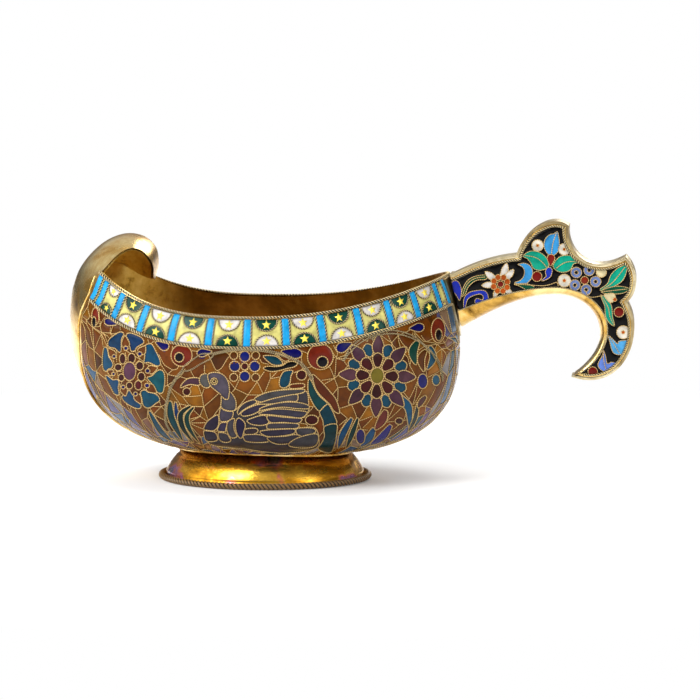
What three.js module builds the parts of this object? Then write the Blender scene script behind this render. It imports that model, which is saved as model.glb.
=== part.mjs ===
// Enamelled silver-gilt kovsh: a raised boat-shaped bowl whose prow curls over into a hood,
// on an oval foot with a rope edge, with a hollow hooked handle on a seat plate.
// Millimetres, +Z up, the handle points along +X and the ground is Z = 0.
import * as THREE from 'three';

// Bowl
const halfLengthProw = 59.3;
const halfLengthHandle = 58.6;
const halfBeam = 41.4;
const bottomHeight = 7.5;
const bellyHeight = 40;
const prowBellyRise = 9;
const rimHeight = 52.5;
const prowRimRise = 20;
const handleRimRise = 10.5;
const bowlWall = 1.1;
const prowSheerPower = 3;
const handleSheerPower = 2.15;
const sideTuckShare = 0.085;
const endTuckShare = 0.062;
const handleFloorShare = 0.75;
const prowFloorShare = 0.6;
const flankShare = 0.74;

// Curled hood of the prow
const prowHeight = 74.3;
const hoodHalfAngle = THREE.MathUtils.degToRad(33);
const hoodDishPower = 2.2;
const hoodTaperPower = 0.6;
const hoodFullnessShare = 0.25;

// Enamel on the bowl
const seatClearance = 0.4;
const enamelThickness = 0.4;
const bandHeight = 8.7;
const barCount = 14;
const barWidth = 1.9;
const barRise = 0.25;
const barEdge = 0.2;
const fieldFootShare = 0.33;
const trimGap = 0.3;
const bandLimitShare = 0.7;

// Wires
const bowlWireDiameter = 0.9;
const prowWireDiameter = 0.8;
const prowWireTopShare = 0.93;
const handleWireDiameter = 0.7;

// Foot
const footHalfLength = 30.5;
const footFullnessShare = 1.2315;
const neckHalfLength = 26;
const footWall = 1.2;
const flangeHeight = 0.9;
const flangeReach = 0.4;
const footClearance = 0.25;
const ropeDiameter = 2;
const ropeLift = 0.1;
const ropeLays = 53;
const ropeWaistShare = 0.72;

// Handle
const handleReach = 56;
const handleDrop = 21.2;
const handleRise = 48.1;
const handleWidth = 12;
const edgeWall = 0.9;
const plateThickness = 0.7;
const plateRecess = 0.1;
const fitGap = 0.15;
const wireInset = 1.5;
const groundInset = 2;
const groundThickness = 0.35;
const gripMargin = 0.3;
const seatPlateThickness = 0.8;
const seatPlateHalfWidth = 8.5;
const seatPlateTipWidth = 0.8;
const seatPlateDrop = 8.5;
const rootGap = 0.3;
const miterFloorShare = 0.4;
const insetFloorShare = 0.97;
const gripBulgePower = 0.7;

// Mesh density
const sideColumns = 18;
const hoodHalfColumns = 7;
const floorRows = 3;
const fieldRows = 8;
const bandRows = 2;
const hoodRows = 9;
const fieldEndColumns = 3;
const fieldProwColumns = 9;
const footColumns = 48;
const wireSegments = 3;
const rimWireKnots = 48;
const rimWireSteps = 72;
const bandWireKnots = 24;
const bandWireSteps = 42;
const prowWireKnots = 20;
const handleWireSides = 5;
const seatColumns = 6;
const seatRows = 6;
const handleSteps = 10;
const gripSteps = 10;
const gripSides = 7;
const stripDrop = 1;
const plateDrop = 2;
const groundDrop = 3;
const ropeSides = 6;
const ropeSteps = 160;
const settlePasses = 4;
const halvingPasses = 30;
const rimMeasureSteps = 200;

// The curl of the prow, as shares of the prow's half length and of its height.
const spineShares = [
  [-0.987, 0.774], [-0.953, 0.852], [-0.888, 0.922], [-0.806, 0.975], [-0.713, 1],
  [-0.624, 0.989], [-0.563, 0.944], [-0.549, 0.88], [-0.569, 0.812],
];
const openEdgeShares = [
  [-0.752, 0.892], [-0.72, 0.921], [-0.683, 0.944], [-0.641, 0.955],
  [-0.6, 0.944], [-0.568, 0.912], [-0.554, 0.869], [-0.569, 0.812],
];
const foldedEdgeShares = [
  [-0.781, 0.874], [-0.75, 0.848], [-0.716, 0.834], [-0.68, 0.82],
  [-0.644, 0.81], [-0.613, 0.804], [-0.589, 0.803], [-0.569, 0.812],
];

function alongProw([xShare, zShare]) {
  return new THREE.Vector2(xShare * halfLengthProw, zShare * prowHeight);
}

function mix(from, to, share) {
  return from + (to - from) * share;
}

// A point of the rim at an angle about the bowl, from the handle (0) to the prow (pi).
function rimPoint(angle) {
  const along = Math.cos(angle);
  const across = Math.sin(angle);
  const inset = 1 - mix(sideTuckShare, endTuckShare, along * along);
  const halfLength = along > 0 ? halfLengthHandle : halfLengthProw;
  const rise = along > 0 ? handleRimRise : prowRimRise;
  const power = along > 0 ? handleSheerPower : prowSheerPower;
  return new THREE.Vector3(
    halfLength * along * inset,
    halfBeam * across * inset,
    rimHeight + rise * Math.abs(along) ** power,
  );
}

const hoodBase = rimPoint(Math.PI - hoodHalfAngle);
const hoodStart = new THREE.Vector2(hoodBase.x, hoodBase.z);
const spine = new THREE.SplineCurve(spineShares.map(alongProw));
const openEdge = new THREE.SplineCurve([hoodStart, ...openEdgeShares.map(alongProw)]);
const foldedEdge = new THREE.SplineCurve([hoodStart, ...foldedEdgeShares.map(alongProw)]);

// The hood: side runs from -1 at the open edge to 1 at the folded edge, reach from 0 to 1 at the tip.
function hoodPoint(side, reach) {
  const middle = spine.getPoint(reach);
  const edge = (side < 0 ? openEdge : foldedEdge).getPoint(reach);
  const dish = Math.abs(side) ** hoodDishPower;
  const taper = (1 - reach) ** hoodTaperPower * (1 + hoodFullnessShare * reach);
  return new THREE.Vector3(
    mix(middle.x, edge.x, dish),
    side * hoodBase.y * taper,
    mix(middle.y, edge.y, dish),
  );
}

// The outer face of the bowl. Level 0 is the middle of the floor, 1 the belly, 2 the rim
// and 3 the tip of the hood, which only the meridians of the prow reach.
function bowlPoint(angle, level) {
  const along = Math.cos(angle);
  const across = Math.sin(angle);
  const towardsProw = (1 - along) / 2;
  const belly = bellyHeight + prowBellyRise * towardsProw ** 3;
  const halfLength = along > 0 ? halfLengthHandle : halfLengthProw;
  if (level <= 1) {
    const floorShare = mix(handleFloorShare, prowFloorShare, towardsProw);
    const profile = new THREE.CubicBezierCurve(
      new THREE.Vector2(0, bottomHeight),
      new THREE.Vector2(floorShare, bottomHeight),
      new THREE.Vector2(1, mix(belly, bottomHeight, flankShare)),
      new THREE.Vector2(1, belly),
    ).getPoint(level);
    return new THREE.Vector3(halfLength * along * profile.x, halfBeam * across * profile.x, profile.y);
  }
  const side = (Math.PI - angle) / hoodHalfAngle;
  const inHood = Math.abs(side) <= 1;
  if (level > 2) {
    return hoodPoint(side, level - 2);
  }
  const top = inHood ? hoodPoint(side, 0) : rimPoint(angle);
  const rise = level - 1;
  return new THREE.Vector3(
    mix(halfLength * along, top.x, rise * rise),
    mix(halfBeam * across, top.y, rise * rise),
    mix(belly, top.z, rise),
  );
}

const probeShare = 1e-3;
const poleProbeShare = 0.02;
const sameMarkShare = 1e-8;

// A point lifted off the outer face of the bowl along the face's own normal.
function liftedPoint(angle, level, lift) {
  const ring = level > 2 ? Math.min(level, 3 - poleProbeShare) : Math.max(level, poleProbeShare);
  const limit = level > 2 ? hoodHalfAngle * (1 - probeShare) : Math.PI * 2;
  const turn = THREE.MathUtils.clamp(angle, Math.PI - limit, Math.PI + limit);
  const low = ring <= 2 ? Math.min(ring, 2 - probeShare) : ring;
  const aroundFace = bowlPoint(turn + probeShare, low).sub(bowlPoint(turn - probeShare, low));
  const upFace = bowlPoint(turn, low + probeShare).sub(bowlPoint(turn, low - probeShare));
  const normal = aroundFace.cross(upFace).normalize();
  return bowlPoint(angle, level).addScaledVector(normal, lift);
}

// The level at which a meridian reaches a height, above the belly or below it.
function levelOfHeight(angle, height) {
  const belly = bowlPoint(angle, 1).z;
  const top = bowlPoint(angle, 2).z;
  if (height >= belly) {
    return 1 + (height - belly) / (top - belly);
  }
  return halved((level) => bowlPoint(angle, level).z < height);
}

// The level from 0 to 1 at which a test that holds low down stops holding.
function halved(holds) {
  let low = 0;
  let high = 1;
  for (let pass = 0; pass < halvingPasses; pass += 1) {
    const middle = (low + high) / 2;
    [low, high] = holds(middle) ? [middle, high] : [low, middle];
  }
  return low;
}

function angleOfWidth(width) {
  return Math.asin(width / halfBeam);
}

function spread(from, to, steps) {
  return Array.from({ length: steps + 1 }, (_, step) => mix(from, to, step / steps));
}

// Two like skins of points, an outer one and an inner one, closed along every free edge.
function thicken(outer, inner, faces) {
  const count = outer.length;
  const edges = new Set(faces.flatMap(([a, b, c]) => [`${a},${b}`, `${b},${c}`, `${c},${a}`]));
  const triangles = [];
  for (const [a, b, c] of faces) {
    triangles.push(a, b, c, a + count, c + count, b + count);
  }
  for (const edge of edges) {
    const [a, b] = edge.split(',').map(Number);
    if (!edges.has(`${b},${a}`)) {
      triangles.push(b, a, a + count, b, a + count, b + count);
    }
  }
  return fromPoints([...outer, ...inner], triangles);
}

function fromPoints(points, triangles) {
  const geometry = new THREE.BufferGeometry();
  geometry.setAttribute('position', new THREE.Float32BufferAttribute(points.flatMap((p) => p.toArray()), 3));
  geometry.setIndex(triangles);
  return geometry;
}

// The faces of a grid of points that indexOf numbers, without the empty ones at a pole.
function gridFaces(columns, rows, indexOf) {
  const faces = [];
  for (let column = 0; column < columns; column += 1) {
    for (let row = 0; row < rows; row += 1) {
      const a = indexOf(column, row);
      const b = indexOf(column + 1, row);
      const c = indexOf(column + 1, row + 1);
      const d = indexOf(column, row + 1);
      faces.push([a, b, c], [a, c, d]);
    }
  }
  return faces.filter(([a, b, c]) => a !== b && b !== c && c !== a);
}

// A patch of the bowl's face between two lifts; place gives the angle and level of a grid point.
function patch(columns, rows, place, lowLift, highLift) {
  const outer = [];
  const inner = [];
  for (let column = 0; column <= columns; column += 1) {
    for (let row = 0; row <= rows; row += 1) {
      const { angle, level, extra = 0 } = place(column, row);
      outer.push(liftedPoint(angle, level, highLift + extra));
      inner.push(liftedPoint(angle, level, lowLift));
    }
  }
  return thicken(outer, inner, gridFaces(columns, rows, (column, row) => column * (rows + 1) + row));
}

function tubeAlong(points, diameter, sides, steps) {
  const section = new THREE.Shape();
  section.absarc(0, 0, diameter / 2, 0, Math.PI * 2);
  return new THREE.ExtrudeGeometry(section, {
    steps,
    curveSegments: sides,
    extrudePath: new THREE.CatmullRomCurve3(points),
  });
}

const kovsh = new THREE.Group();

function addPart(name, geometry, color, roughness, metalness) {
  const mesh = new THREE.Mesh(geometry, new THREE.MeshStandardMaterial({ color, roughness, metalness }));
  mesh.name = name;
  kovsh.add(mesh);
  return mesh;
}

const gilt = ['#c9a04c', 0.28, 1];
const wireGilt = ['#d9bf85', 0.35, 1];
const silvered = ['#b9a67c', 0.4, 1];

// Columns of the far half, from the handle to the prow, and the levels of the rows at an angle:
// the floor, the enamelled field and the rim band each keep their own rows.
const halfAngles = [
  ...spread(0, Math.PI - hoodHalfAngle, sideColumns),
  ...spread(Math.PI - hoodHalfAngle, Math.PI, hoodHalfColumns).slice(1),
];
const bandRow = floorRows + fieldRows;
const rimRow = bandRow + bandRows;

// The height of the band's lower wire at an angle, and its level.
function bandWireHeight(angle) {
  return rimPoint(angle).z - bandHeight;
}

function bandLevel(angle) {
  return Math.min(levelOfHeight(angle, bandWireHeight(angle)), 1 + bandLimitShare);
}

// The level at a height above the band's lower wire, or below it where negative.
function bandEdgeLevel(angle, above) {
  const wire = bowlPoint(angle, bandLevel(angle)).z;
  return levelOfHeight(angle, wire + above);
}

function rowLevel(angle, row) {
  if (row <= floorRows) {
    return fieldFootShare * row / floorRows;
  }
  const band = bandLevel(angle);
  if (row <= bandRow) {
    return mix(fieldFootShare, band, (row - floorRows) / fieldRows);
  }
  return mix(band, 2, (row - bandRow) / bandRows);
}

// side is 1 for the far half of the bowl and -1 for the near half.
function mirrored(angle, side) {
  return side > 0 ? angle : Math.PI * 2 - angle;
}

// The bowl is one sheet: outer and inner face, the rim and the curled hood.
function makeBowl() {
  const outer = [];
  const inner = [];
  const add = (angle, level) => {
    outer.push(liftedPoint(angle, level, 0));
    inner.push(liftedPoint(angle, level, -bowlWall));
    return outer.length - 1;
  };
  const nearAngles = halfAngles.slice(1, -1).reverse().map((angle) => mirrored(angle, -1));
  const angles = [...halfAngles, ...nearAngles];
  const pole = add(0, 0);
  const wall = angles.map((angle) => (
    spread(1, rimRow, rimRow - 1).map((row) => add(angle, rowLevel(angle, row)))
  ));
  const wallIndex = (column, row) => (row === 0 ? pole : wall[column % angles.length][row - 1]);
  const faces = gridFaces(angles.length, rimRow, wallIndex);
  const tip = add(Math.PI, 3);
  const hoodFrom = sideColumns;
  const hoodCount = hoodHalfColumns * 2;
  const levels = spread(2, 3, hoodRows).slice(1, -1);
  const hood = angles.slice(hoodFrom, hoodFrom + hoodCount + 1).map((angle) => (
    levels.map((level) => add(angle, level))
  ));
  const hoodIndex = (column, row) => {
    if (row === 0) {
      return wallIndex(hoodFrom + column, rimRow);
    }
    return row === hoodRows ? tip : hood[column][row - 1];
  };
  faces.push(...gridFaces(hoodCount, hoodRows, hoodIndex));
  return thicken(outer, inner, faces);
}

addPart('bowl', makeBowl(), ...gilt);

// The seat plate and the handle hang from the height of the rim.
const seatPlateLowHeight = rimHeight - seatPlateDrop;
const handleLowHeight = rimHeight - handleDrop;

// Where the bare prow ends and the enamel starts, as shares of the hood's angle at each level.
const prowBareShares = [
  [0, 0.2], [0.33, 0.3], [0.6, 0.52], [0.8, 0.71], [0.95, 0.82], [1.3, 0.87], [1.65, 0.985], [2, 1],
];

function prowBareAngle(level) {
  const next = Math.max(1, prowBareShares.findIndex(([mark]) => mark >= level));
  const [lowMark, lowShare] = prowBareShares[next - 1];
  const [highMark, highShare] = prowBareShares[next];
  return hoodHalfAngle * mix(lowShare, highShare, (level - lowMark) / (highMark - lowMark));
}

function seatPlateAngle(level) {
  const tipLevel = levelOfHeight(0, seatPlateLowHeight);
  const share = THREE.MathUtils.clamp((level - tipLevel) / (2 - tipLevel), 0, 1);
  return angleOfWidth(mix(seatPlateTipWidth, seatPlateHalfWidth, share ** hoodTaperPower));
}

// Both ends of an enamel field at one level, between the seat plate and the bare prow.
function fieldEnds(level) {
  const clear = angleOfWidth(trimGap);
  return { from: seatPlateAngle(level) + clear, to: Math.PI - prowBareAngle(level) - clear };
}

// The columns of a field share the bowl's own columns, so that both faces run parallel.
const columnStep = halfAngles[1];
const sharedAngles = halfAngles.filter((angle) => (
  angle > seatPlateAngle(2) + columnStep / 2 && angle < Math.PI - hoodHalfAngle - columnStep / 2
));

function fieldAngles(level) {
  const ends = fieldEnds(level);
  return [
    ...spread(ends.from, sharedAngles[0], fieldEndColumns).slice(0, -1),
    ...sharedAngles,
    ...spread(sharedAngles.at(-1), ends.to, fieldProwColumns).slice(1),
  ];
}

const highFace = seatClearance + enamelThickness;
const wireHalfGap = bowlWireDiameter / 2 + trimGap;

// The place of a grid point of a field: its row's level and its column's angle there.
function fieldPlace(side, columnAngles, columns, levelAt) {
  return (column, row) => {
    const index = side > 0 ? column : columns - column;
    let level = 1;
    let angle = Math.PI / 2;
    for (let pass = 0; pass < settlePasses; pass += 1) {
      angle = columnAngles(level)[index];
      level = levelAt(angle, row);
    }
    return { angle: mirrored(angle, side), level };
  };
}

function makeField(side) {
  const columns = fieldAngles(1).length - 1;
  const levelAt = (angle, row) => (
    row === fieldRows
      ? bandEdgeLevel(angle, -wireHalfGap)
      : rowLevel(angle, floorRows + row)
  );
  return patch(columns, fieldRows, fieldPlace(side, fieldAngles, columns, levelAt), seatClearance, highFace);
}

addPart('body_enamel_near', makeField(-1), '#9a4d12', 0.25, 0);
addPart('body_enamel_far', makeField(1), '#9a4d12', 0.25, 0);

// Angles at equal steps along the rim between two angles, measured on the real curve.
function evenAngles(from, to, shares) {
  const fine = spread(from, to, rimMeasureSteps);
  const lengths = [0];
  for (let step = 1; step < fine.length; step += 1) {
    lengths.push(lengths[step - 1] + rimPoint(fine[step]).distanceTo(rimPoint(fine[step - 1])));
  }
  const whole = lengths[lengths.length - 1];
  return shares(whole).map((length) => {
    const next = Math.max(1, lengths.findIndex((mark) => mark >= length - whole * sameMarkShare));
    const share = (length - lengths[next - 1]) / (lengths[next] - lengths[next - 1]);
    return mix(fine[next - 1], fine[next], share);
  });
}

// The rim band: an enamelled strip with a raised blue bar at every station.
function makeBand(side) {
  const ends = fieldEnds(2);
  const raised = [];
  const angles = evenAngles(ends.from, ends.to, (whole) => {
    const pitch = (whole - barWidth) / (barCount - 1);
    const marks = [];
    for (let bar = 0; bar < barCount; bar += 1) {
      const start = bar * pitch;
      marks.push(start, start + barEdge, start + barWidth - barEdge, start + barWidth);
      raised.push(0, barRise, barRise, 0);
      if (bar < barCount - 1) {
        marks.push(start + (barWidth + pitch) / 2);
        raised.push(0);
      }
    }
    return marks;
  });
  const columns = angles.length - 1;
  const columnAngles = (level) => {
    const limits = fieldEnds(level);
    return angles.map((angle) => mix(limits.from, limits.to, (angle - ends.from) / (ends.to - ends.from)));
  };
  const levelAt = (angle, row) => {
    if (row === 0) {
      return bandEdgeLevel(angle, wireHalfGap);
    }
    return row === bandRows
      ? levelOfHeight(angle, bowlPoint(angle, 2).z - bowlWireDiameter - trimGap)
      : rowLevel(angle, bandRow + row);
  };
  const place = fieldPlace(side, columnAngles, columns, levelAt);
  const lift = (column) => raised[side > 0 ? column : columns - column];
  const withBars = (column, row) => ({ ...place(column, row), extra: lift(column) });
  return patch(columns, bandRows, withBars, seatClearance, highFace);
}

addPart('rim_band_near', makeBand(-1), '#e9e58f', 0.25, 0);
addPart('rim_band_far', makeBand(1), '#e9e58f', 0.25, 0);

// Wires that lie on the bowl's face, each along a run of angles and levels.
function wireOnBowl(places, diameter) {
  const lift = seatClearance + diameter / 2;
  return places.map(({ angle, level }) => liftedPoint(angle, level, lift));
}

const rimWireTurns = spread(Math.PI + hoodHalfAngle, Math.PI * 3 - hoodHalfAngle, rimWireKnots);
const rimWirePlaces = rimWireTurns.map((turn) => {
  const angle = turn % (Math.PI * 2);
  return { angle, level: levelOfHeight(angle, bowlPoint(angle, 2).z - bowlWireDiameter / 2) };
});
const rimWireLine = wireOnBowl(rimWirePlaces, bowlWireDiameter);
addPart('rim_wire', tubeAlong(rimWireLine, bowlWireDiameter, wireSegments, rimWireSteps), ...wireGilt);

function makeBandWire(side) {
  const steps = spread(0, 1, bandWireKnots);
  const places = steps.map((share) => {
    let angle = Math.PI / 2;
    for (let pass = 0; pass < settlePasses; pass += 1) {
      const ends = fieldEnds(bandLevel(angle));
      const clear = angleOfWidth(prowWireDiameter);
      angle = mix(ends.from, ends.to - clear, share);
    }
    return { angle: mirrored(angle, side), level: bandLevel(angle) };
  });
  return tubeAlong(wireOnBowl(places, bowlWireDiameter), bowlWireDiameter, wireSegments, bandWireSteps);
}

addPart('band_wire_near', makeBandWire(-1), ...wireGilt);
addPart('band_wire_far', makeBandWire(1), ...wireGilt);

// The wire between the enamel and the bare prow, from the foot of the field up to the rim wire.
function makeProwWire(side) {
  const levels = spread(fieldFootShare, 1 + prowWireTopShare, prowWireKnots);
  const places = levels.map((level) => ({
    angle: mirrored(Math.PI - prowBareAngle(level) + angleOfWidth(prowWireDiameter), side),
    level,
  }));
  return tubeAlong(wireOnBowl(places, prowWireDiameter), prowWireDiameter, wireSegments, prowWireKnots);
}

addPart('prow_wire_near', makeProwWire(-1), ...wireGilt);
addPart('prow_wire_far', makeProwWire(1), ...wireGilt);

// The foot: an oval ring of sheet that flares from the neck under the bowl to a flat flange.
// Its beam follows the bowl's own.
const footBeamShare = footFullnessShare * halfBeam / halfLengthHandle;

function undersideHeight(x, y) {
  const halfLength = x > 0 ? halfLengthHandle : halfLengthProw;
  const angle = Math.atan2(y / halfBeam, x / halfLength);
  const reachOf = (point) => Math.hypot(point.x / halfLength, point.y / halfBeam);
  const reach = Math.hypot(x / halfLength, y / halfBeam);
  return bowlPoint(angle, halved((level) => reachOf(bowlPoint(angle, level)) < reach)).z;
}

// The foot's sheet in section: how far out and how high it is from the neck to the flange, as shares.
const coveShares = [[0, 1], [0.2, 0.98], [0.5, 0.77], [0.83, 0.46], [1, 0.25]];

function makeFoot() {
  const flare = footHalfLength - neckHalfLength - flangeReach;
  const ringOf = (reach, height) => spread(0, Math.PI * 2, footColumns).slice(0, -1).map((turn) => {
    const x = reach * Math.cos(turn);
    const y = reach * footBeamShare * Math.sin(turn);
    return new THREE.Vector3(x, y, height(x, y));
  });
  const neckTop = (x, y) => undersideHeight(x, y) - footClearance;
  const outer = coveShares.map(([out, up]) => {
    const reach = neckHalfLength + flare * out;
    return ringOf(reach, (x, y) => (out === 0 ? neckTop(x, y) : mix(flangeHeight, bottomHeight, up)));
  });
  const flangeTop = ringOf(footHalfLength - flangeReach, () => flangeHeight);
  const flangeOut = ringOf(footHalfLength - flangeReach + flangeReach / 2, () => flangeHeight);
  const flangeFoot = ringOf(footHalfLength - flangeReach + flangeReach / 2, () => 0);
  const inner = coveShares.map(([out, up]) => {
    const reach = neckHalfLength + flare * out - footWall;
    return ringOf(reach, (x, y) => {
      const high = out === 0 ? neckTop(x, y) : mix(flangeHeight, bottomHeight, up);
      return out === 1 ? 0 : high - (out === 0 ? 0 : footWall / 2);
    });
  }).reverse();
  const loops = [...outer, flangeTop, flangeOut, flangeFoot, ...inner];
  return closedRings(loops);
}

// Rings of points joined each to the next and the last to the first, as a closed ring solid.
function closedRings(rings) {
  const size = rings[0].length;
  const indexOf = (column, row) => (row % rings.length) * size + (column % size);
  const triangles = gridFaces(size, rings.length, indexOf).flatMap(([a, b, c]) => [a, c, b]);
  return fromPoints(rings.flat(), triangles);
}

addPart('foot', makeFoot(), ...gilt);

// The rope edge of the foot: two strands laid round each other, as a lobed section that turns.
function makeRope() {
  const reachX = footHalfLength + ropeDiameter / 2;
  const reachY = footHalfLength * footBeamShare + ropeDiameter / 2;
  const rings = spread(0, Math.PI * 2, ropeSteps).slice(0, -1).map((turn, step) => {
    const height = ropeLift + ropeDiameter / 2;
    const centre = new THREE.Vector3(reachX * Math.cos(turn), reachY * Math.sin(turn), height);
    const out = new THREE.Vector3(Math.cos(turn) / reachX, Math.sin(turn) / reachY, 0).normalize();
    const lay = Math.PI * step * ropeLays / ropeSteps;
    return spread(0, Math.PI * 2, ropeSides).slice(0, -1).map((around) => {
      const radius = ropeDiameter / 2 * mix(ropeWaistShare, 1, Math.cos(around - lay) ** 2);
      const point = centre.clone().addScaledVector(out, radius * Math.cos(around));
      return point.setZ(centre.z + radius * Math.sin(around));
    });
  });
  return closedRings(rings);
}

addPart('foot_rope', makeRope(), ...wireGilt);

// The shield-shaped plate on the end of the bowl that the handle is soldered to.
function makeSeatPlate() {
  const top = bowlPoint(0, 2).z - bowlWireDiameter - trimGap;
  const place = (column, row) => {
    const height = mix(seatPlateLowHeight, top, row / seatRows);
    const level = levelOfHeight(0, height);
    const half = seatPlateAngle(level);
    const turn = mix(-half, half, column / seatColumns);
    const angle = turn < 0 ? turn + Math.PI * 2 : turn;
    const limit = bowlPoint(angle, 2).z - bowlWireDiameter - trimGap;
    return { angle, level: levelOfHeight(angle, Math.min(height, limit)) };
  };
  return patch(seatColumns, seatRows, place, seatClearance, seatClearance + seatPlateThickness);
}

addPart('handle_seat', makeSeatPlate(), ...silvered);

// The handle's outlines in the plane Y = 0, as shares of its reach from the root and of its rise.
const outerShares = [
  [[0, 0.644], [0.107, 0.713], [0.232, 0.767], [0.364, 0.782]],
  [[0.364, 0.782], [0.402, 0.94], [0.554, 1.05], [0.645, 0.967]],
  [[0.645, 0.967], [0.625, 0.815], [0.75, 0.642], [0.948, 0.778]],
  [[0.948, 0.778], [1.011, 0.711], [1.029, 0.572], [0.957, 0.493]],
  [[0.957, 0.493], [1.063, 0.306], [0.946, -0.089], [0.661, 0.025]],
];
const gripShares = [
  [[0.661, 0.021], [0.732, 0.087], [0.807, 0.17], [0.811, 0.285]],
  [[0.811, 0.285], [0.813, 0.42], [0.723, 0.53], [0.571, 0.53]],
  [[0.571, 0.53], [0.393, 0.53], [0.223, 0.43], [0, 0.27]],
];
const groundEdgeShares = [
  [[0.661, 0.025], [0.75, 0.067], [0.845, 0.17], [0.852, 0.306]],
  [[0.852, 0.306], [0.857, 0.441], [0.759, 0.565], [0.589, 0.58]],
  [[0.589, 0.58], [0.393, 0.58], [0.196, 0.503], [0, 0.4]],
];

// The handle's root follows the seat plate on the end of the bowl.
const seatFace = seatClearance + seatPlateThickness;
const handleRootX = bowlPoint(0, 2).x + bowlWall;

function alongHandle([xShare, zShare]) {
  return new THREE.Vector2(handleRootX + xShare * handleReach, handleLowHeight + zShare * handleRise);
}

function handlePath(shares, steps) {
  const path = new THREE.CurvePath();
  for (const curve of shares) {
    path.add(new THREE.CubicBezierCurve(...curve.map(alongHandle)));
  }
  return path.curves.flatMap((curve, index) => curve.getPoints(steps).slice(index > 0 ? 1 : 0));
}

// Where the handle may start at a height: just clear of the seat plate and of the rim wire.
function rootX(height) {
  const top = bowlPoint(0, 2).z;
  const level = levelOfHeight(0, Math.min(height, top));
  const wireFace = seatClearance + bowlWireDiameter;
  return liftedPoint(0, Math.max(level, 1), Math.max(seatFace, wireFace) + rootGap).x;
}

// A run of points moved sideways by a distance, to the right of its direction where positive.
function besidePath(points, distance) {
  const moved = points.map((point, index) => {
    const before = points[Math.max(index - 1, 0)];
    const after = points[Math.min(index + 1, points.length - 1)];
    const arrive = point.clone().sub(before).normalize();
    const leave = after.clone().sub(point).normalize();
    const first = index === 0 ? leave : arrive;
    const last = index === points.length - 1 ? arrive : leave;
    const normalA = new THREE.Vector2(first.y, -first.x);
    const normalB = new THREE.Vector2(last.y, -last.x);
    const miter = normalA.clone().add(normalB).normalize();
    return point.clone().addScaledVector(miter, distance / Math.max(miter.dot(normalA), miterFloorShare));
  });
  return moved.filter((point) => distanceToRun(point, points) > Math.abs(distance) * insetFloorShare);
}

function distanceToRun(point, run) {
  const distances = run.slice(1).map((end, index) => {
    const start = run[index];
    const along = end.clone().sub(start);
    const share = THREE.MathUtils.clamp(point.clone().sub(start).dot(along) / along.lengthSq(), 0, 1);
    return start.clone().addScaledVector(along, share).distanceTo(point);
  });
  return Math.min(...distances);
}

// A flat piece of the handle from its closed outline, from one depth in Y to another.
function handleSlab(outline, nearY, farY) {
  const geometry = new THREE.ExtrudeGeometry(new THREE.Shape(outline), {
    depth: farY - nearY,
    bevelEnabled: false,
    steps: 1,
  });
  geometry.rotateX(Math.PI / 2);
  geometry.translate(0, farY, 0);
  return geometry;
}

const outerPath = handlePath(outerShares, handleSteps);
const gripPath = handlePath(gripShares, gripSteps).reverse();
const groundEdgePath = handlePath(groundEdgeShares, gripSteps).reverse();
const halfWidth = handleWidth / 2;

// A run of points cut off at the root, where it gets a point of its own.
function fromRoot(points) {
  const clear = points.filter((point) => point.x > rootX(point.y) + rootGap);
  return [new THREE.Vector2(rootX(clear[0].y), clear[0].y), ...clear];
}

// A run moved sideways, cut off at the root and shortened by some points at the hook's end.
function insetRun(points, distance, dropped) {
  return fromRoot(besidePath(points, distance).slice(0, -dropped));
}

const outerRun = fromRoot(outerPath);
const gripRun = fromRoot(gripPath);
const groundEdgeRun = fromRoot(groundEdgePath);

// The edge strip: a band of sheet that follows the whole outer outline.
function makeEdgeStrip() {
  const inside = insetRun(outerRun, edgeWall, stripDrop);
  return handleSlab([...outerRun, ...inside.reverse()], -halfWidth, halfWidth);
}

addPart('handle_edge_strip', makeEdgeStrip(), ...silvered);

// The outline of a side plate or of its enamel, inside the edge strip and above the grip.
function sideOutline(edgeInset, lowerInset, lowerDrop) {
  const upper = insetRun(outerRun, edgeInset, stripDrop);
  const lower = insetRun(groundEdgeRun, -lowerInset, lowerDrop);
  return [...upper, ...lower.reverse()];
}

const plateOutline = sideOutline(edgeWall + fitGap, fitGap, plateDrop);
const groundOutline = sideOutline(groundInset, gripMargin, groundDrop);
const plateFace = halfWidth - plateRecess;

function addSidePieces(name, side) {
  const slab = (outline, inner, outer) => (
    side < 0 ? handleSlab(outline, -outer, -inner) : handleSlab(outline, inner, outer)
  );
  addPart(`handle_plate_${name}`, slab(plateOutline, plateFace - plateThickness, plateFace), ...gilt);
  const ground = slab(groundOutline, plateFace, plateFace + groundThickness);
  addPart(`handle_enamel_${name}`, ground, '#140b0a', 0.25, 0);
  const wireRun = insetRun(outerRun, wireInset, stripDrop);
  const depth = side * (plateFace + handleWireDiameter / 2);
  const wirePoints = wireRun.map((point) => new THREE.Vector3(point.x, depth, point.y));
  addPart(`handle_wire_${name}`, sweptTube(wirePoints, handleWireDiameter), ...wireGilt);
}

// A tube through given points with its section square to the XZ plane's normal, closed at both ends.
function sweptTube(points, diameter) {
  const rings = points.map((point, index) => {
    const before = points[Math.max(index - 1, 0)];
    const after = points[Math.min(index + 1, points.length - 1)];
    const ahead = after.clone().sub(before).normalize();
    const beside = new THREE.Vector3(0, 1, 0).cross(ahead).normalize();
    return spread(0, Math.PI * 2, handleWireSides).slice(0, -1).map((around) => (
      point.clone()
        .addScaledVector(beside, diameter / 2 * Math.cos(around))
        .addScaledVector(new THREE.Vector3(0, 1, 0), diameter / 2 * Math.sin(around))
    ));
  });
  return cappedRings(rings);
}

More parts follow.
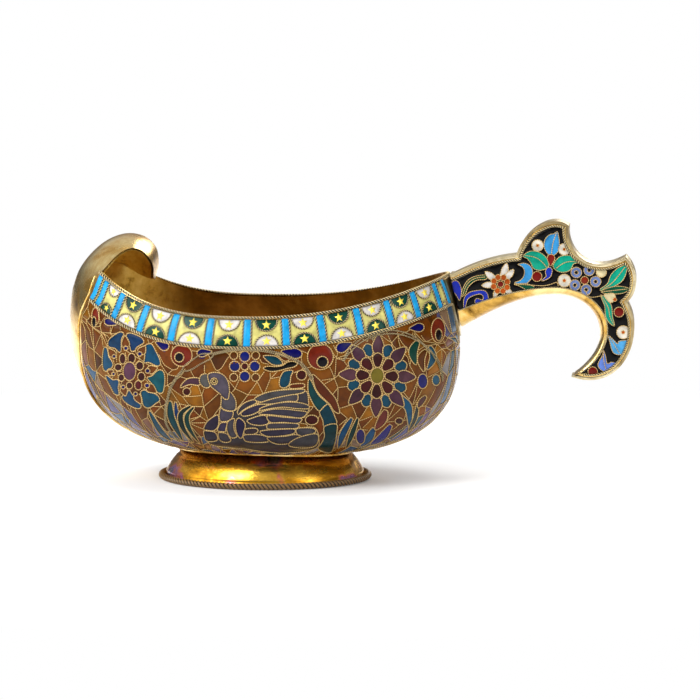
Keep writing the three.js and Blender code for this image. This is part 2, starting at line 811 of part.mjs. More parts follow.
// Rings of points joined each to the next, with a flat cap on the first and the last.
function cappedRings(rings) {
  const size = rings[0].length;
  const indexOf = (column, row) => row * size + (column % size);
  const faces = gridFaces(size, rings.length - 1, indexOf);
  const last = (rings.length - 1) * size;
  for (let step = 1; step < size - 1; step += 1) {
    faces.push([0, step + 1, step], [last, last + step, last + step + 1]);
  }
  return fromPoints(rings.flat(), faces.flat());
}

addSidePieces('front', -1);
addSidePieces('back', 1);

// The grip: the rounded inner side of the handle, between the lower edges of the side plates.
function makeGrip() {
  const count = Math.min(gripRun.length, groundEdgeRun.length) - plateDrop;
  const rings = [];
  for (let step = 0; step < count; step += 1) {
    const edge = groundEdgeRun[step];
    const bottom = gripRun[step];
    rings.push(spread(0, Math.PI, gripSides).map((around) => {
      const share = Math.sin(around) ** gripBulgePower;
      const x = mix(edge.x, bottom.x, share);
      const z = mix(edge.y, bottom.y, share);
      return new THREE.Vector3(Math.max(x, rootX(z)), -plateFace * Math.cos(around), z);
    }));
  }
  return cappedRings(rings);
}

addPart('handle_grip', makeGrip(), ...gilt);

// The origin lies on the ground under the middle of the whole length.
const bounds = new THREE.Box3().setFromObject(kovsh);
kovsh.position.x = -(bounds.min.x + bounds.max.x) / 2;

export default kovsh;
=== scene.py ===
import math

import bmesh
import bpy
import numpy as np
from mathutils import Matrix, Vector, geometry, kdtree


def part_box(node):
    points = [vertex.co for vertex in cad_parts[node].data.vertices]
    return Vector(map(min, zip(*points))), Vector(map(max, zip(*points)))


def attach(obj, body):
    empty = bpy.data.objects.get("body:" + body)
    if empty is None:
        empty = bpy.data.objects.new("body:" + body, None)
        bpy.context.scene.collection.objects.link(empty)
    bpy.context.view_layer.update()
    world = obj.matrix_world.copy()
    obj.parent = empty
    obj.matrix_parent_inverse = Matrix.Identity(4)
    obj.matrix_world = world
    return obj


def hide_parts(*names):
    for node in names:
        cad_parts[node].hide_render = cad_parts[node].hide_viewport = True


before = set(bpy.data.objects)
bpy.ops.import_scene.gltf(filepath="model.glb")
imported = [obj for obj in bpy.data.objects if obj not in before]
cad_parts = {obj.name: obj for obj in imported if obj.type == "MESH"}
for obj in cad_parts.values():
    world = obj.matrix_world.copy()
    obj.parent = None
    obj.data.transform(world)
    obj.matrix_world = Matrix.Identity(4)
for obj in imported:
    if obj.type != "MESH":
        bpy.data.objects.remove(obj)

bl_info = {
    "name": "Enamelled kovsh",
    "version": (1, 0, 0),
    "blender": (4, 5, 0),
    "location": "View3D > Sidebar > Kovsh",
    "description": "Dresses a silver-gilt kovsh with cloisonne enamel and twisted wires",
    "category": "Object",
}


# Lengths are millimetres until a mesh is made, in the frame's own axes with the bowl's centre at X = 0.
MM = 0.001
CENTRE = (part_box("foot")[0][0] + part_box("foot")[1][0]) / 2 / MM
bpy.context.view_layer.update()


# Bowl
HALF_LENGTH_PROW = 59.3
HALF_LENGTH_HANDLE = 58.6
HALF_BEAM = 41.4
BOTTOM_HEIGHT = 7.5
BELLY_HEIGHT = 40.0
PROW_BELLY_RISE = 9.0
RIM_HEIGHT = 52.5
PROW_RIM_RISE = 20.0
HANDLE_RIM_RISE = 10.5
PROW_SHEER_POWER = 3.0
HANDLE_SHEER_POWER = 2.15
SIDE_TUCK_SHARE = 0.085
END_TUCK_SHARE = 0.062
HANDLE_FLOOR_SHARE = 0.75
PROW_FLOOR_SHARE = 0.6
FLANK_SHARE = 0.74
BOWL_SHEET = 1.1
RIM_SHEET = 0.75
THINNING_LEVEL = 1.6


# Hood of the prow
PROW_HEIGHT = 74.3
HOOD_HALF_ANGLE = math.radians(33)
HOOD_DISH_POWER = 2.2
HOOD_TAPER_POWER = 0.6
HOOD_FULLNESS_SHARE = 0.25
SPINE_SHARES = (
    (-0.987, 0.774), (-0.953, 0.852), (-0.888, 0.922), (-0.806, 0.975), (-0.713, 1),
    (-0.624, 0.989), (-0.563, 0.944), (-0.549, 0.88), (-0.569, 0.812),
)
OPEN_EDGE_SHARES = (
    (-0.752, 0.892), (-0.72, 0.921), (-0.683, 0.944), (-0.641, 0.955),
    (-0.6, 0.944), (-0.568, 0.912), (-0.554, 0.869), (-0.569, 0.812),
)
FOLDED_EDGE_SHARES = (
    (-0.781, 0.874), (-0.75, 0.848), (-0.716, 0.834), (-0.68, 0.82),
    (-0.644, 0.81), (-0.613, 0.804), (-0.589, 0.803), (-0.569, 0.812),
)


# Enamel and wires on the bowl
BAND_HEIGHT = 8.7
BAND_LEVEL_LIMIT = 1.7
FIELD_FOOT_LEVEL = 0.33
SEAT_CLEARANCE = 0.4
ENAMEL_LIFT = 0.62
PROW_BARE_MARKS = (0, 0.33, 0.6, 0.8, 0.95, 1.3, 1.65, 2)
PROW_BARE_SHARES = (0.2, 0.3, 0.52, 0.71, 0.82, 0.87, 0.985, 1)
SEAT_LOW_HEIGHT = 44.0
SEAT_TIP_WIDTH = 0.8
SEAT_HALF_WIDTH = 8.5
TRIM_GAP = 0.3
BOWL_WIRE_DIAMETER = 0.9
PROW_WIRE_DIAMETER = 0.8
PROW_WIRE_TOP_LEVEL = 1.93


# Camera of the photograph
IMAGE_SIZE = 700
FOCAL_PIXELS = 3300
SENSOR_WIDTH = 36.0
CAMERA_DISTANCE = 1000.0
CAMERA_AZIMUTH = math.radians(5.5)
CAMERA_ELEVATION = math.radians(5.9)
AIM_X = 26.0
AIM_Z = 39.3


# Stage, in metres
FLOOR_SIZE = 6
FADE_START = 0.09
FADE_END = 0.26
SKY = ((0.4, 0.2), (0.52, 0.1), (0.6, 0.22), (0.74, 0.7), (1.0, 0.5))
LAMP_AIM = (0, 0, 0.04)
LAMPS = (
    ("key", (-0.55, -0.75, 0.75), 0.5, 8.0),
    ("fill", (0.8, -0.7, 0.35), 0.6, 3.5),
    ("top", (0.0, 0.15, 1.0), 0.7, 5.0),
    ("rim", (0.3, 0.8, 0.5), 0.5, 4.0),
    ("prow", (-0.95, -0.45, 0.5), 0.75, 7.5),
)


# Finishes, with their depths in metres
MATERIALS = {}
MARK_LAYER = "mark"
CELL_LAYER = "Cell"
WORN_ROUGHNESS = 0.22
SCRATCHES_PER_PATCH = 18
SCRATCH_DEPTH = 0.00004
NICK_DEPTH = 0.00005
PIT_DEPTH = 0.00003
FINE_NICKS = 0.66
WEAR_SHARE = 0.1
HOOD_INNER_START = 24.0
HOOD_INNER_END = 50.0
FILM_TINTS = (
    (0.0, "F0C050"), (0.5, "F0C050"), (0.56, "E87A5A"), (0.61, "C07AB0"), (0.66, "6A7AC0"), (0.72, "E8D890"),
)


# Twisted wires: how thick a strand is and how far out it reaches, as shares of the wire
STRAND_THICKNESS = {2: 0.27, 3: 0.25}
STRAND_REACH = 0.51


def mix(low, high, share):
    return low + (high - low) * share


def linear(code, alpha=1.0):
    """A colour written as six hex digits, as linear light."""
    parts = [int(code[start:start + 2], 16) / 255 for start in (0, 2, 4)]
    light = [part / 12.92 if part <= 0.04045 else ((part + 0.055) / 1.055) ** 2.4 for part in parts]
    return (*light, alpha)


def camera_axes():
    back = np.array([
        math.sin(CAMERA_AZIMUTH) * math.cos(CAMERA_ELEVATION),
        -math.cos(CAMERA_AZIMUTH) * math.cos(CAMERA_ELEVATION),
        math.sin(CAMERA_ELEVATION),
    ])
    right = np.array([math.cos(CAMERA_AZIMUTH), math.sin(CAMERA_AZIMUTH), 0.0])
    return right, np.cross(back, right), back


def to_pixels(points):
    """Where points of the bowl's frame lie in the photograph."""
    right, up, back = camera_axes()
    eye = np.array([AIM_X, 0, AIM_Z]) + CAMERA_DISTANCE * back
    away = points - eye
    depth = -(away @ back)
    x = IMAGE_SIZE / 2 + FOCAL_PIXELS * (away @ right) / depth
    y = IMAGE_SIZE / 2 - FOCAL_PIXELS * (away @ up) / depth
    return np.stack([x, y], axis=-1)


# The bowl's face, by the angle about the bowl (0 at the handle, pi at the prow) and the level
# (0 the floor, 1 the belly, 2 the rim, 3 the tip of the hood).
def rim_point(angle):
    along = np.cos(angle)
    across = np.sin(angle)
    inset = 1 - mix(SIDE_TUCK_SHARE, END_TUCK_SHARE, along * along)
    length = np.where(along > 0, HALF_LENGTH_HANDLE, HALF_LENGTH_PROW)
    rise = np.where(along > 0, HANDLE_RIM_RISE, PROW_RIM_RISE)
    power = np.where(along > 0, HANDLE_SHEER_POWER, PROW_SHEER_POWER)
    height = RIM_HEIGHT + rise * np.abs(along) ** power
    return np.stack([length * along * inset, HALF_BEAM * across * inset, height], axis=-1)


HOOD_BASE = rim_point(np.array(math.pi - HOOD_HALF_ANGLE))


def spline_through(points, share):
    """A Catmull-Rom curve through points, at shares of its run."""
    last = len(points) - 1
    place = np.clip(share, 0, 1) * last
    index = np.minimum(place.astype(int), last)
    weight = (place - index)[..., None]
    before = points[np.maximum(index - 1, 0)]
    start = points[index]
    end = points[np.minimum(index + 1, last)]
    after = points[np.minimum(index + 2, last)]
    leave = (end - before) / 2
    arrive = (after - start) / 2
    cubic = 2 * start - 2 * end + leave + arrive
    square = -3 * start + 3 * end - 2 * leave - arrive
    return ((cubic * weight + square) * weight + leave) * weight + start


def prow_points(shares, lead=()):
    scaled = [(x * HALF_LENGTH_PROW, z * PROW_HEIGHT) for x, z in shares]
    return np.array([*lead, *scaled])


SPINE = prow_points(SPINE_SHARES)
OPEN_EDGE = prow_points(OPEN_EDGE_SHARES, [(HOOD_BASE[0], HOOD_BASE[2])])
FOLDED_EDGE = prow_points(FOLDED_EDGE_SHARES, [(HOOD_BASE[0], HOOD_BASE[2])])


def hood_point(side, reach):
    middle = spline_through(SPINE, reach)
    opened = spline_through(OPEN_EDGE, reach)
    folded = spline_through(FOLDED_EDGE, reach)
    edge = np.where((side < 0)[..., None], opened, folded)
    dish = (np.abs(side) ** HOOD_DISH_POWER)[..., None]
    taper = np.clip(1 - reach, 0, 1) ** HOOD_TAPER_POWER * (1 + HOOD_FULLNESS_SHARE * reach)
    place = mix(middle, edge, dish)
    return np.stack([place[..., 0], side * HOOD_BASE[1] * taper, place[..., 1]], axis=-1)


def shell_point(angle, level):
    angle, level = np.broadcast_arrays(np.asarray(angle, float), np.asarray(level, float))
    along = np.cos(angle)
    across = np.sin(angle)
    towards_prow = (1 - along) / 2
    belly = BELLY_HEIGHT + PROW_BELLY_RISE * towards_prow ** 3
    length = np.where(along > 0, HALF_LENGTH_HANDLE, HALF_LENGTH_PROW)
    share = np.clip(level, 0, 1)
    floor = mix(HANDLE_FLOOR_SHARE, PROW_FLOOR_SHARE, towards_prow)
    rest = 1 - share
    reach = 3 * rest ** 2 * share * floor + 3 * rest * share ** 2 + share ** 3
    flank = mix(belly, BOTTOM_HEIGHT, FLANK_SHARE)
    height = (rest ** 3 + 3 * rest ** 2 * share) * BOTTOM_HEIGHT + 3 * rest * share ** 2 * flank
    height = height + share ** 3 * belly
    low = np.stack([length * along * reach, HALF_BEAM * across * reach, height], axis=-1)
    side = (math.pi - angle) / HOOD_HALF_ANGLE
    in_hood = np.abs(side) <= 1
    held = np.clip(side, -1, 1)
    top = np.where(in_hood[..., None], hood_point(held, np.zeros_like(level)), rim_point(angle))
    rise = np.clip(level - 1, 0, 1)
    upper = np.stack([
        mix(length * along, top[..., 0], rise * rise),
        mix(HALF_BEAM * across, top[..., 1], rise * rise),
        mix(belly, top[..., 2], rise),
    ], axis=-1)
    hood = hood_point(held, np.clip(level - 2, 0, 1))
    wall = np.where((level <= 1)[..., None], low, upper)
    return np.where((level > 2)[..., None], hood, wall)


PROBE = 1e-3


def shell_normal(angle, level):
    angle, level = np.broadcast_arrays(np.asarray(angle, float), np.asarray(level, float))
    above = level > 2
    ring = np.where(above, np.minimum(level, 3 - 20 * PROBE), np.maximum(level, 20 * PROBE))
    ring = np.where(above, ring, np.minimum(ring, 2 - PROBE))
    limit = np.where(above, HOOD_HALF_ANGLE * (1 - PROBE), math.pi * 2)
    turn = np.clip(angle, math.pi - limit, math.pi + limit)
    around = shell_point(turn + PROBE, ring) - shell_point(turn - PROBE, ring)
    upward = shell_point(turn, ring + PROBE) - shell_point(turn, ring - PROBE)
    normal = np.cross(around, upward)
    return normal / np.linalg.norm(normal, axis=-1, keepdims=True)


def lifted(angle, level, lift):
    lift = np.asarray(lift, float)[..., None]
    return shell_point(angle, level) + shell_normal(angle, level) * lift


def level_of_height(angle, height):
    belly = shell_point(angle, 1.0)[..., 2]
    top = shell_point(angle, 2.0)[..., 2]
    return 1 + (height - belly) / (top - belly)


def angle_of_width(width):
    return np.arcsin(width / HALF_BEAM)


def band_level(angle):
    wire = rim_point(angle)[..., 2] - BAND_HEIGHT
    return np.minimum(level_of_height(angle, wire), BAND_LEVEL_LIMIT)


def band_edge_level(angle, above):
    wire = shell_point(angle, band_level(angle))[..., 2]
    return level_of_height(angle, wire + above)


def prow_bare_angle(level):
    return HOOD_HALF_ANGLE * np.interp(level, PROW_BARE_MARKS, PROW_BARE_SHARES)


def seat_angle(level):
    tip = level_of_height(np.array(0.0), SEAT_LOW_HEIGHT)
    share = np.clip((level - tip) / (2 - tip), 0, 1)
    return angle_of_width(mix(SEAT_TIP_WIDTH, SEAT_HALF_WIDTH, share ** HOOD_TAPER_POWER))


def field_ends(level):
    clear = angle_of_width(TRIM_GAP)
    return seat_angle(level) + clear, math.pi - prow_bare_angle(level) - clear


# Meshes
def make_mesh(name, points, faces, smooth=True):
    """A piece from points in the bowl's frame and its faces, placed in the shared frame in metres."""
    mesh = bpy.data.meshes.new(name)
    placed = (np.asarray(points, float) + np.array([CENTRE, 0, 0])) * MM
    mesh.from_pydata(placed.tolist(), [], [tuple(face) for face in faces])
    mesh.update()
    mesh.polygons.foreach_set("use_smooth", [smooth] * len(mesh.polygons))
    piece = bpy.data.objects.new(name, mesh)
    bpy.context.scene.collection.objects.link(piece)
    return piece


def finish_piece(piece, material, slot, *nodes):
    """Gives a piece its finish and its body, and hides the nodes it stands for."""
    if material is not None:
        piece.data.materials.append(material)
    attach(piece, "root")
    if nodes:
        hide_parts(*nodes)
    return piece


def grid_faces(columns, rows, wrap=False):
    """Quads of a grid whose points run row by row within each column."""
    column, row = np.meshgrid(np.arange(columns), np.arange(rows), indexing="ij")
    after = (column + 1) % columns if wrap else column + 1
    step = rows + 1
    quads = [column * step + row, after * step + row, after * step + row + 1, column * step + row + 1]
    return np.stack([quad.ravel() for quad in quads], axis=-1)


def mirrored(points, faces):
    """The same shape on the other side of the middle plane, with its faces still outwards."""
    return np.asarray(points) * np.array([1, -1, 1]), [tuple(reversed(face)) for face in faces]


def open_edges(faces):
    """The edges that only one face has, in that face's direction."""
    pairs = {pair: True for face in faces for pair in zip(face, face[1:] + face[:1])}
    return [pair for pair in pairs if pair[::-1] not in pairs]


def thick_faces(faces, count):
    """The faces of a sheet, its walls and its underside, whose points come count places later."""
    walls = [(there, here, here + count, there + count) for here, there in open_edges(faces)]
    under = [tuple(index + count for index in reversed(face)) for face in faces]
    return faces + walls + under


def unit(vectors):
    return vectors / np.maximum(np.linalg.norm(vectors, axis=-1, keepdims=True), 1e-12)


def resample(points, step, closed=False):
    """Points at even steps along a run."""
    points = np.asarray(points, float)
    if closed:
        points = np.vstack([points, points[:1]])
    lengths = np.concatenate([[0], np.cumsum(np.linalg.norm(np.diff(points, axis=0), axis=1))])
    count = max(2, int(round(lengths[-1] / step)))
    marks = np.linspace(0, lengths[-1], count + 1)
    if closed:
        marks = marks[:-1]
    return np.stack([np.interp(marks, lengths, points[:, axis]) for axis in range(points.shape[1])], axis=-1)


def rounded(points, steps, closed=True):
    """A smooth curve through a few points."""
    points = np.asarray(points, float)
    if closed:
        loop = np.vstack([points[-1:], points, points[:2]])
        span = len(points)
        share = np.linspace(1, span + 1, span * steps, endpoint=False) / (len(loop) - 1)
        return spline_through(loop, share)
    return spline_through(points, np.linspace(0, 1, (len(points) - 1) * steps + 1))


class Bundle:
    """Many small bodies that become one piece."""

    def __init__(self):
        self.points = []
        self.faces = []
        self.marks = []
        self.count = 0

    def add(self, points, faces, marks=None):
        self.points.append(points)
        self.faces.extend([tuple(index + self.count for index in face) for face in faces])
        self.marks.append(np.ones(len(points)) if marks is None else marks)
        self.count += len(points)

    def tube(self, points, normals, radius, sides=5, closed=False):
        """A round body along a run that lies on a face with the given normals."""
        if closed:
            tangent = unit(np.roll(points, -1, axis=0) - np.roll(points, 1, axis=0))
        else:
            tangent = unit(np.gradient(points, axis=0))
        beside = unit(np.cross(normals, tangent))
        above = np.cross(tangent, beside)
        turn = np.linspace(0, 2 * math.pi, sides, endpoint=False)
        radius = np.broadcast_to(np.asarray(radius, float), (len(points),))[:, None, None]
        ring = (
            points[:, None, :]
            + radius * np.cos(turn)[None, :, None] * beside[:, None, :]
            + radius * np.sin(turn)[None, :, None] * above[:, None, :]
        )
        lengths = np.linalg.norm(np.diff(points, axis=0), axis=1)
        along = np.repeat(np.concatenate([[0], np.cumsum(lengths)]), sides)
        count = len(points)
        loops = count if closed else count - 1
        faces = []
        for step in range(loops):
            here = step * sides
            there = (step + 1) % count * sides
            for side in range(sides):
                beyond = (side + 1) % sides
                faces.append((here + side, here + beyond, there + beyond, there + side))
        if not closed:
            faces.append(tuple(reversed(range(sides))))
            faces.append(tuple(range((count - 1) * sides, count * sides)))
        self.add(ring.reshape(-1, 3), faces, along)

    def twisted(self, points, normals, diameter, pitch, closed=False, strands=2, sides=5, steps=7):
        """Strands laid round each other along a run, marked by how far out they stand."""
        joined = np.hstack([points, normals])
        if closed:
            joined = np.vstack([joined, joined[:1]])
        run = np.concatenate([[0], np.cumsum(np.linalg.norm(np.diff(joined[:, :3], axis=0), axis=1))])
        turns = max(1, round(run[-1] / pitch))
        wanted = np.linspace(0, run[-1], turns * steps, endpoint=not closed)
        fine = np.stack([np.interp(wanted, run, joined[:, axis]) for axis in range(6)], axis=-1)
        place = fine[:, :3]
        face = unit(fine[:, 3:])
        if closed:
            tangent = unit(np.roll(place, -1, axis=0) - np.roll(place, 1, axis=0))
        else:
            tangent = unit(np.gradient(place, axis=0))
        beside = unit(np.cross(face, tangent))
        above = np.cross(tangent, beside)
        thick = STRAND_THICKNESS[strands]
        lay = STRAND_REACH - thick
        for strand in range(strands):
            turn = 2 * math.pi * (wanted / run[-1] * turns + strand / strands)
            out = np.cos(turn)[:, None] * beside + np.sin(turn)[:, None] * above
            self.tube(place + out * diameter * lay, out, diameter * thick, sides, closed)
            away = np.linalg.norm(self.points[-1] - np.repeat(place, sides, axis=0), axis=1)
            self.marks[-1] = away / (diameter * (lay + thick))

    def build(self, name):
        piece = make_mesh(name, np.concatenate(self.points), self.faces)
        layer = piece.data.attributes.new(MARK_LAYER, "FLOAT", "POINT")
        layer.data.foreach_set("value", np.concatenate(self.marks).astype(np.float32))
        return piece

    def mirror(self):
        other = Bundle()
        points, faces = mirrored(np.concatenate(self.points), self.faces)
        other.add(points, faces, np.concatenate(self.marks))
        return other


# Materials
class Tree:
    """Adds and joins the nodes of a material or of the world."""

    def __init__(self, owner):
        owner.use_nodes = True
        self.nodes = owner.node_tree.nodes
        self.links = owner.node_tree.links

    def put(self, node, inputs):
        """Fills inputs of a node: a socket is joined to the input, and anything else is its value."""
        for name, value in inputs.items():
            if isinstance(value, bpy.types.NodeSocket):
                self.links.new(value, node.inputs[name])
            else:
                node.inputs[name].default_value = value

    def add(self, kind, inputs=None, **properties):
        node = self.nodes.new(f"ShaderNode{kind}")
        for name, value in properties.items():
            setattr(node, name, value)
        self.put(node, inputs or {})
        return node

    def place(self, kind="Object"):
        return self.add("TexCoord").outputs[kind]

    def noise(self, coords, scale, detail, rough, distortion=0.0):
        inputs = {
            "Vector": coords, "Scale": scale, "Detail": detail, "Roughness": rough, "Distortion": distortion,
        }
        return self.add("TexNoise", inputs).outputs["Fac"]

    def ramp(self, value, *stops):
        node = self.add("ValToRGB", {"Fac": value})
        elements = node.color_ramp.elements
        while len(elements) < len(stops):
            elements.new(0.5)
        for element, (place, colour) in zip(elements, stops):
            element.position = place
            element.color = colour
        return node.outputs["Color"]

    def reckon(self, operation, *values):
        return self.add("Math", dict(enumerate(values)), operation=operation).outputs["Value"]

    def blend(self, share, low, high, way="MIX"):
        node = self.add("Mix", {}, data_type="RGBA", blend_type=way)
        self.put(node, {"Factor": share, "A": low, "B": high})
        return node.outputs["Result"]


class Finish(Tree):
    """A material with its shader."""

    def __init__(self, name):
        self.material = bpy.data.materials.new(name)
        super().__init__(self.material)
        self.shader = self.nodes["Principled BSDF"]

    def shade(self, inputs):
        self.put(self.shader, inputs)

    def bump(self, height, distance):
        bump = self.add("Bump", {"Height": height, "Distance": distance, "Strength": 1.0})
        self.shade({"Normal": bump.outputs["Normal"]})

    def mark(self):
        """The measure that a bundle's points carry."""
        return self.add("Attribute", attribute_name=MARK_LAYER).outputs["Fac"]


def grey(value):
    return (value, value, value, 1.0)


def gilt_finish(name, bright, dull, dark, rough, stretch=(1, 1, 1), scale=60.0):
    """Polished gilding that has worn and tarnished in patches, whose colour runs from dark to bright; those
    patches are partly that wear and partly painted reflection.
    """
    finish = Finish(name)
    coords = finish.place()
    mapped = finish.add("Mapping", {"Vector": coords, "Scale": stretch}).outputs["Vector"]
    patches = finish.noise(mapped, scale, detail=8.0, rough=0.65, distortion=0.4)
    # Dark and bright patches of colour: partly wear and tarnish, partly painted reflection of the
    # surroundings.
    finish.colour = finish.ramp(patches, (0.3, dark), (0.45, dull), (0.62, bright))
    gloss = finish.ramp(patches, (0.3, grey(rough + WORN_ROUGHNESS)), (0.65, grey(rough)))
    finish.shade({"Base Color": finish.colour, "Roughness": gloss, "Metallic": 1.0})
    finish.bump(finish.noise(coords, scale * SCRATCHES_PER_PATCH, detail=5.0, rough=0.6), SCRATCH_DEPTH)
    return finish


def inner_finish(name):
    """Gilding inside the bowl: darker than outside, which is painted shade down in the bowl, and olive gold
    with bright spots and its metal turned off under the hood, which is painted highlights there.
    """
    # Darker gilding than outside: painted shade down in the bowl.
    finish = gilt_finish(name, linear("BE9448"), linear("86601E"), linear("4A2E0C"), 0.36, scale=45.0)
    coords = finish.place()
    reach = finish.add("MapRange", {
        "Value": finish.add("SeparateXYZ", {0: coords}).outputs["X"],
        "From Min": (CENTRE - HOOD_INNER_START) * MM,
        "From Max": (CENTRE - HOOD_INNER_END) * MM,
    }, interpolation_type="SMOOTHSTEP").outputs["Result"]
    spots = finish.noise(coords, 240.0, detail=6.0, rough=0.7)
    # Bright olive with brighter spots, its metal turned off: painted highlights under the hood.
    olive = finish.ramp(spots, (0.34, linear("9A7420")), (0.46, linear("E0B850")), (0.7, linear("FFE080")))
    metal = finish.add("MapRange", {"Value": reach, "To Min": 0.95, "To Max": 0.0}).outputs["Result"]
    finish.shade({"Base Color": finish.blend(reach, finish.colour, olive), "Metallic": metal})
    return finish


def foot_finish(name, bright):
    """Polished gilding with a film of tarnish that turns rose, violet and blue in patches."""
    finish = gilt_finish(name, bright, linear("B07A1C"), linear("3A2206"), 0.16, (1, 1, 2.5), 62.0)
    film = finish.noise(finish.place(), 75.0, detail=3.0, rough=0.5, distortion=0.6)
    tint = finish.ramp(film, *((place, linear(code)) for place, code in FILM_TINTS))
    share = finish.ramp(film, (0.5, grey(0.0)), (0.58, grey(0.75)))
    finish.shade({"Base Color": finish.blend(share, finish.colour, tint)})
    return finish


def fine_wire_finish(name, bright, dark, pitch):
    """Flat wire nicked across its edge, which shows as a row of tiny beads, with painted shade dark in each
    nick.
    """
    finish = Finish(name)
    wave = finish.reckon("SINE", finish.reckon("MULTIPLY", finish.mark(), 2 * math.pi / pitch))
    nicks = finish.reckon("MULTIPLY_ADD", wave, 0.5, 0.5)
    # The dark colour in each nick is painted shade.
    colour = finish.ramp(nicks, (0.02, dark), (0.3, bright))
    finish.shade({"Base Color": colour, "Metallic": 0.75, "Roughness": 0.4})
    finish.bump(nicks, NICK_DEPTH)
    return finish


def twist_finish(name, bright, dark, low, high):
    """Twisted wire: bright where the strands stand out, dark in the grooves between them, which is painted
    shade with some tarnish.
    """
    finish = Finish(name)
    worn = finish.noise(finish.place(), 260.0, detail=4.0, rough=0.6)
    height = finish.reckon("MULTIPLY_ADD", worn, WEAR_SHARE, finish.mark())
    colour = finish.ramp(height, (low + WEAR_SHARE / 2, dark), (high + WEAR_SHARE / 2, bright))
    finish.shade({"Base Color": colour, "Metallic": 0.2, "Roughness": 0.42})
    return finish


def enamel_finish(name):
    """Fused glass: each cell has the colour it carries, clouded, and fired to a gloss."""
    finish = Finish(name)
    coords = finish.place()
    cell = finish.add("VertexColor", layer_name=CELL_LAYER).outputs["Color"]
    cloud = finish.noise(coords, 420.0, detail=5.0, rough=0.6, distortion=0.3)
    shade = finish.ramp(cloud, (0.28, grey(0.5)), (0.5, grey(0.85)), (0.72, grey(1.1)))
    clouded = finish.blend(1.0, cell, shade, "MULTIPLY")
    finish.shade({"Base Color": clouded, "Roughness": 0.2, "Specular IOR Level": 0.12})
    finish.bump(finish.noise(coords, 900.0, detail=3.0, rough=0.5), PIT_DEPTH)
    return finish


def star_finish(name):
    finish = Finish(name)
    finish.shade({"Base Color": linear("F6DC50"), "Roughness": 0.3, "Metallic": 0.35})
    return finish


def build_materials(settings):
    gilding = tuple(settings.gilding)
    silver = linear("E4D6B0")
    # The dark colours of the twisted wire and the rope are painted shade in the grooves between strands, with
    # some tarnish.
    groove_shade = linear("0C0603")
    for key, finish in (
        ("gilt", gilt_finish("gilt", gilding, linear("D0A24C"), linear("4E300C"), 0.15, scale=85.0)),
        ("inner_gilt", inner_finish("inner gilt")),
        ("foot_gilt", foot_finish("foot gilt", tuple(settings.foot_gilding))),
        ("silver_gilt", gilt_finish("silver gilt", silver, linear("A8946A"), linear("5A4A30"), 0.28)),
        ("fine_wire", fine_wire_finish("fine wire", tuple(settings.cloison), linear("5A3A14"), FINE_NICKS)),
        ("wire", twist_finish("twisted wire", tuple(settings.wire), linear("060301"), 0.87, 0.96)),
        ("rope", twist_finish("rope", linear("7E5F36"), groove_shade, 0.86, 0.97)),
        ("enamel", enamel_finish("enamel")),
        ("star", star_finish("star")),
    ):
        MATERIALS[key] = finish.material


# Ornament, traced as outlines in the photograph's pixels
def disc(x, y, width, height=None, steps=20):
    height = width if height is None else height
    turn = np.linspace(0, 2 * math.pi, steps, endpoint=False)
    return np.stack([x + width * np.cos(turn), y + height * np.sin(turn)], axis=-1)


def ribbon(line, widths, steps=8):
    """A leaf or a stroke: a middle line and its widths from one end to the other."""
    line = rounded(line, steps, closed=False)
    share = np.linspace(0, 1, len(line))
    width = np.interp(share, np.linspace(0, 1, len(widths)), widths) / 2
    tangent = unit(np.gradient(line, axis=0))
    beside = np.stack([-tangent[:, 1], tangent[:, 0]], axis=-1) * width[:, None]
    return np.vstack([line + beside, (line - beside)[::-1]])


def leaf(line, width):
    return ribbon(line, [share * width for share in LEAF])


def drop(x, y, away_x, away_y, width):
    """A drop with its point at the first place and its round end at the second."""
    middle = (mix(x, away_x, 0.5), mix(y, away_y, 0.5))
    return ribbon([(x, y), middle, (away_x, away_y)], [share * width for share in DROP])


def around(centre, squeeze, turn, outline):
    """An outline given as reach and angle from a flower's middle, turned to one of its petals."""
    points = [
        (
            centre[0] + squeeze[0] * reach * math.cos(math.radians(turn + angle)),
            centre[1] - squeeze[1] * reach * math.sin(math.radians(turn + angle)),
        )
        for reach, angle in outline
    ]
    return rounded(points, 4)


class Ornament:
    """Cells of enamel, each an outline in pixels and a colour, later ones over earlier ones."""

    def __init__(self):
        self.cells = []
        self.wires = []

    def cell(self, outline, colour):
        self.cells.append((np.asarray(outline), linear(colour)))

    def shapes(self, table):
        for colour, *points in table:
            self.cell(rounded(points, 4), colour)

    def discs(self, table, steps=20):
        for colour, *sizes in table:
            self.cell(disc(*sizes, steps=steps), colour)

    def drops(self, table):
        for colour, *sizes in table:
            self.cell(drop(*sizes), colour)

    def leaves(self, table):
        for colour, width, *line in table:
            self.cell(leaf(line, width), colour)


